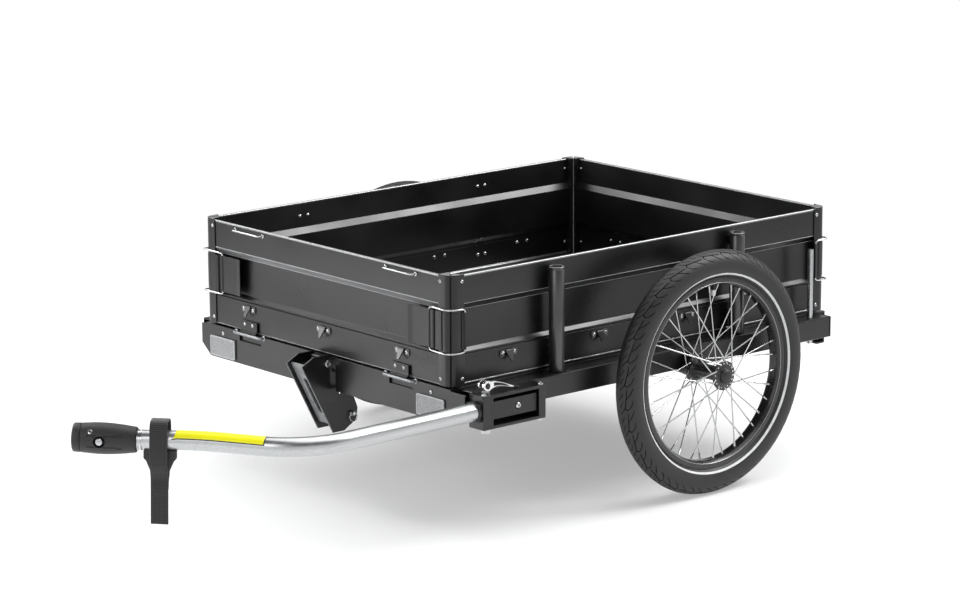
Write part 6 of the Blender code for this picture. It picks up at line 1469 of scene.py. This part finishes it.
# Pale rods along the channel's mouth paint a highlight on its edges.
cradle_edge_highlight_rods = [rod([(side * CHEEK_X, nose.x - 0.0001, nose.y), (side * CHEEK_X, toe.x - 0.0001, toe.y + 0.0004)],
            0.0011, 8) for side in (-1, 1)]
cradle_edge_highlight_rods += [rod([(side * CHEEK_X, *nose), (side * CHEEK_X, *shoulder)], 0.0009, 8) for side in (-1, 1)]
finished("cradle_worn_edges", together(*cradle_edge_highlight_rods), [cradle_highlight_paint], "cradle")
cradle_bolt = [spun([(0.0, 0.0032), (0.0018, 0.0032), (0.0024, 0.0044), (0.0052, 0.0040), (0.0061, 0.0030),
                     (0.0062, 0.0), (0.0, 0.0)], (side * 0.0214, *CRADLE_PIVOT), ACROSS * side, 24)
               for side in (-1, 1)]
cradle_bolt.append(rod([(-0.0214, *CRADLE_PIVOT), (0.0214, *CRADLE_PIVOT)], 0.0029, 16))
finished("cradle_pivot_bolt", together(*cradle_bolt), [zinc_plate], "chassis")
lug = drawn([(-0.5005, 0.2238, 0.004), (-0.4680, 0.2238), (-0.4680, 0.2394), (-0.5005, 0.2394, 0.004)], 0.0360,
            (0.0, 0.0, 0.0), ALONG, UP)
tongue = block((0.0229, -0.4845, 0.2372), (0.0308, -0.4545, 0.2394))
guides = [spun([(0.0, 0.2115), (0.0018, 0.2118), (0.0028, 0.2128), (0.0030, 0.2142), (0.0030, 0.2385),
                (0.0, 0.2385)], (0.0264, y, 0.0), UP, 20) for y in (-0.4785, -0.4580)]
finished("cradle_lug", together(lug, tongue, *guides), [powder_coat], "chassis",
         soften=0.0005, angle=50.0)

# Plates under the front beam
# Two blank acrylic plates with a prismatic back, screwed to the front channel.
# They are grey and clear, with a raised frame and no print.

# Prismatic acrylic: small cubes behind a clear face, drawn 3 mm across.
prismatic_acrylic, tree, shader, place = start_material("prismatic_acrylic", 0.22, ior=1.49)
cubes = add_node(tree, "ShaderNodeTexVoronoi", {"distance": "MANHATTAN"}, {"Scale": 320.0, "Randomness": 0.35},
                 {"Vector": place})
two_tones(tree, shader, "#6c6d6f", "#969899", cubes.outputs["Distance"])
add_bump(tree, shader, cubes.outputs["Distance"], 0.0002, 0.5)

# Frame of the plate: the same acrylic, thicker and paler, scratched a little.
acrylic_frame, tree, shader, place = start_material("frosted_acrylic", 0.35, ior=1.49)
scratch = noise(tree, place, 220.0, 3.0)
two_tones(tree, shader, "#8f9192", "#b9bbbc", scratch)

for side_name, side in SIDES:
    face = BOX_FRONT - 0.0003
    outline = fillet([(side * PLATE_X - 0.0335, 0.186, 0.003), (side * PLATE_X + 0.0335, 0.186, 0.003),
                      (side * PLATE_X + 0.0335, 0.220, 0.003), (side * PLATE_X - 0.0335, 0.220, 0.003)])
    base = plate([outline], 0.0019, (0.0, face - 0.00095, 0.0), ACROSS, UP, 0.0004)
    inner = fillet([(side * PLATE_X - 0.0312, 0.1883, 0.002), (side * PLATE_X + 0.0312, 0.1883, 0.002),
                    (side * PLATE_X + 0.0312, 0.2177, 0.002), (side * PLATE_X - 0.0312, 0.2177, 0.002)])
    rim = plate([outline, inner], 0.0010, (0.0, face - 0.0020, 0.0), ACROSS, UP, 0.0003)
    finished("blank_plate_" + side_name, base, [prismatic_acrylic], "chassis",
             ["front_reflector_" + side_name], angle=15.0)
    finished("plate_frame_" + side_name, rim, [acrylic_frame], "chassis", angle=15.0)

# Flag tube
# A thin zinc-plated tube through the left rail, open at the top for a flag pole.
coat_node("flag_tube", zinc_plate)
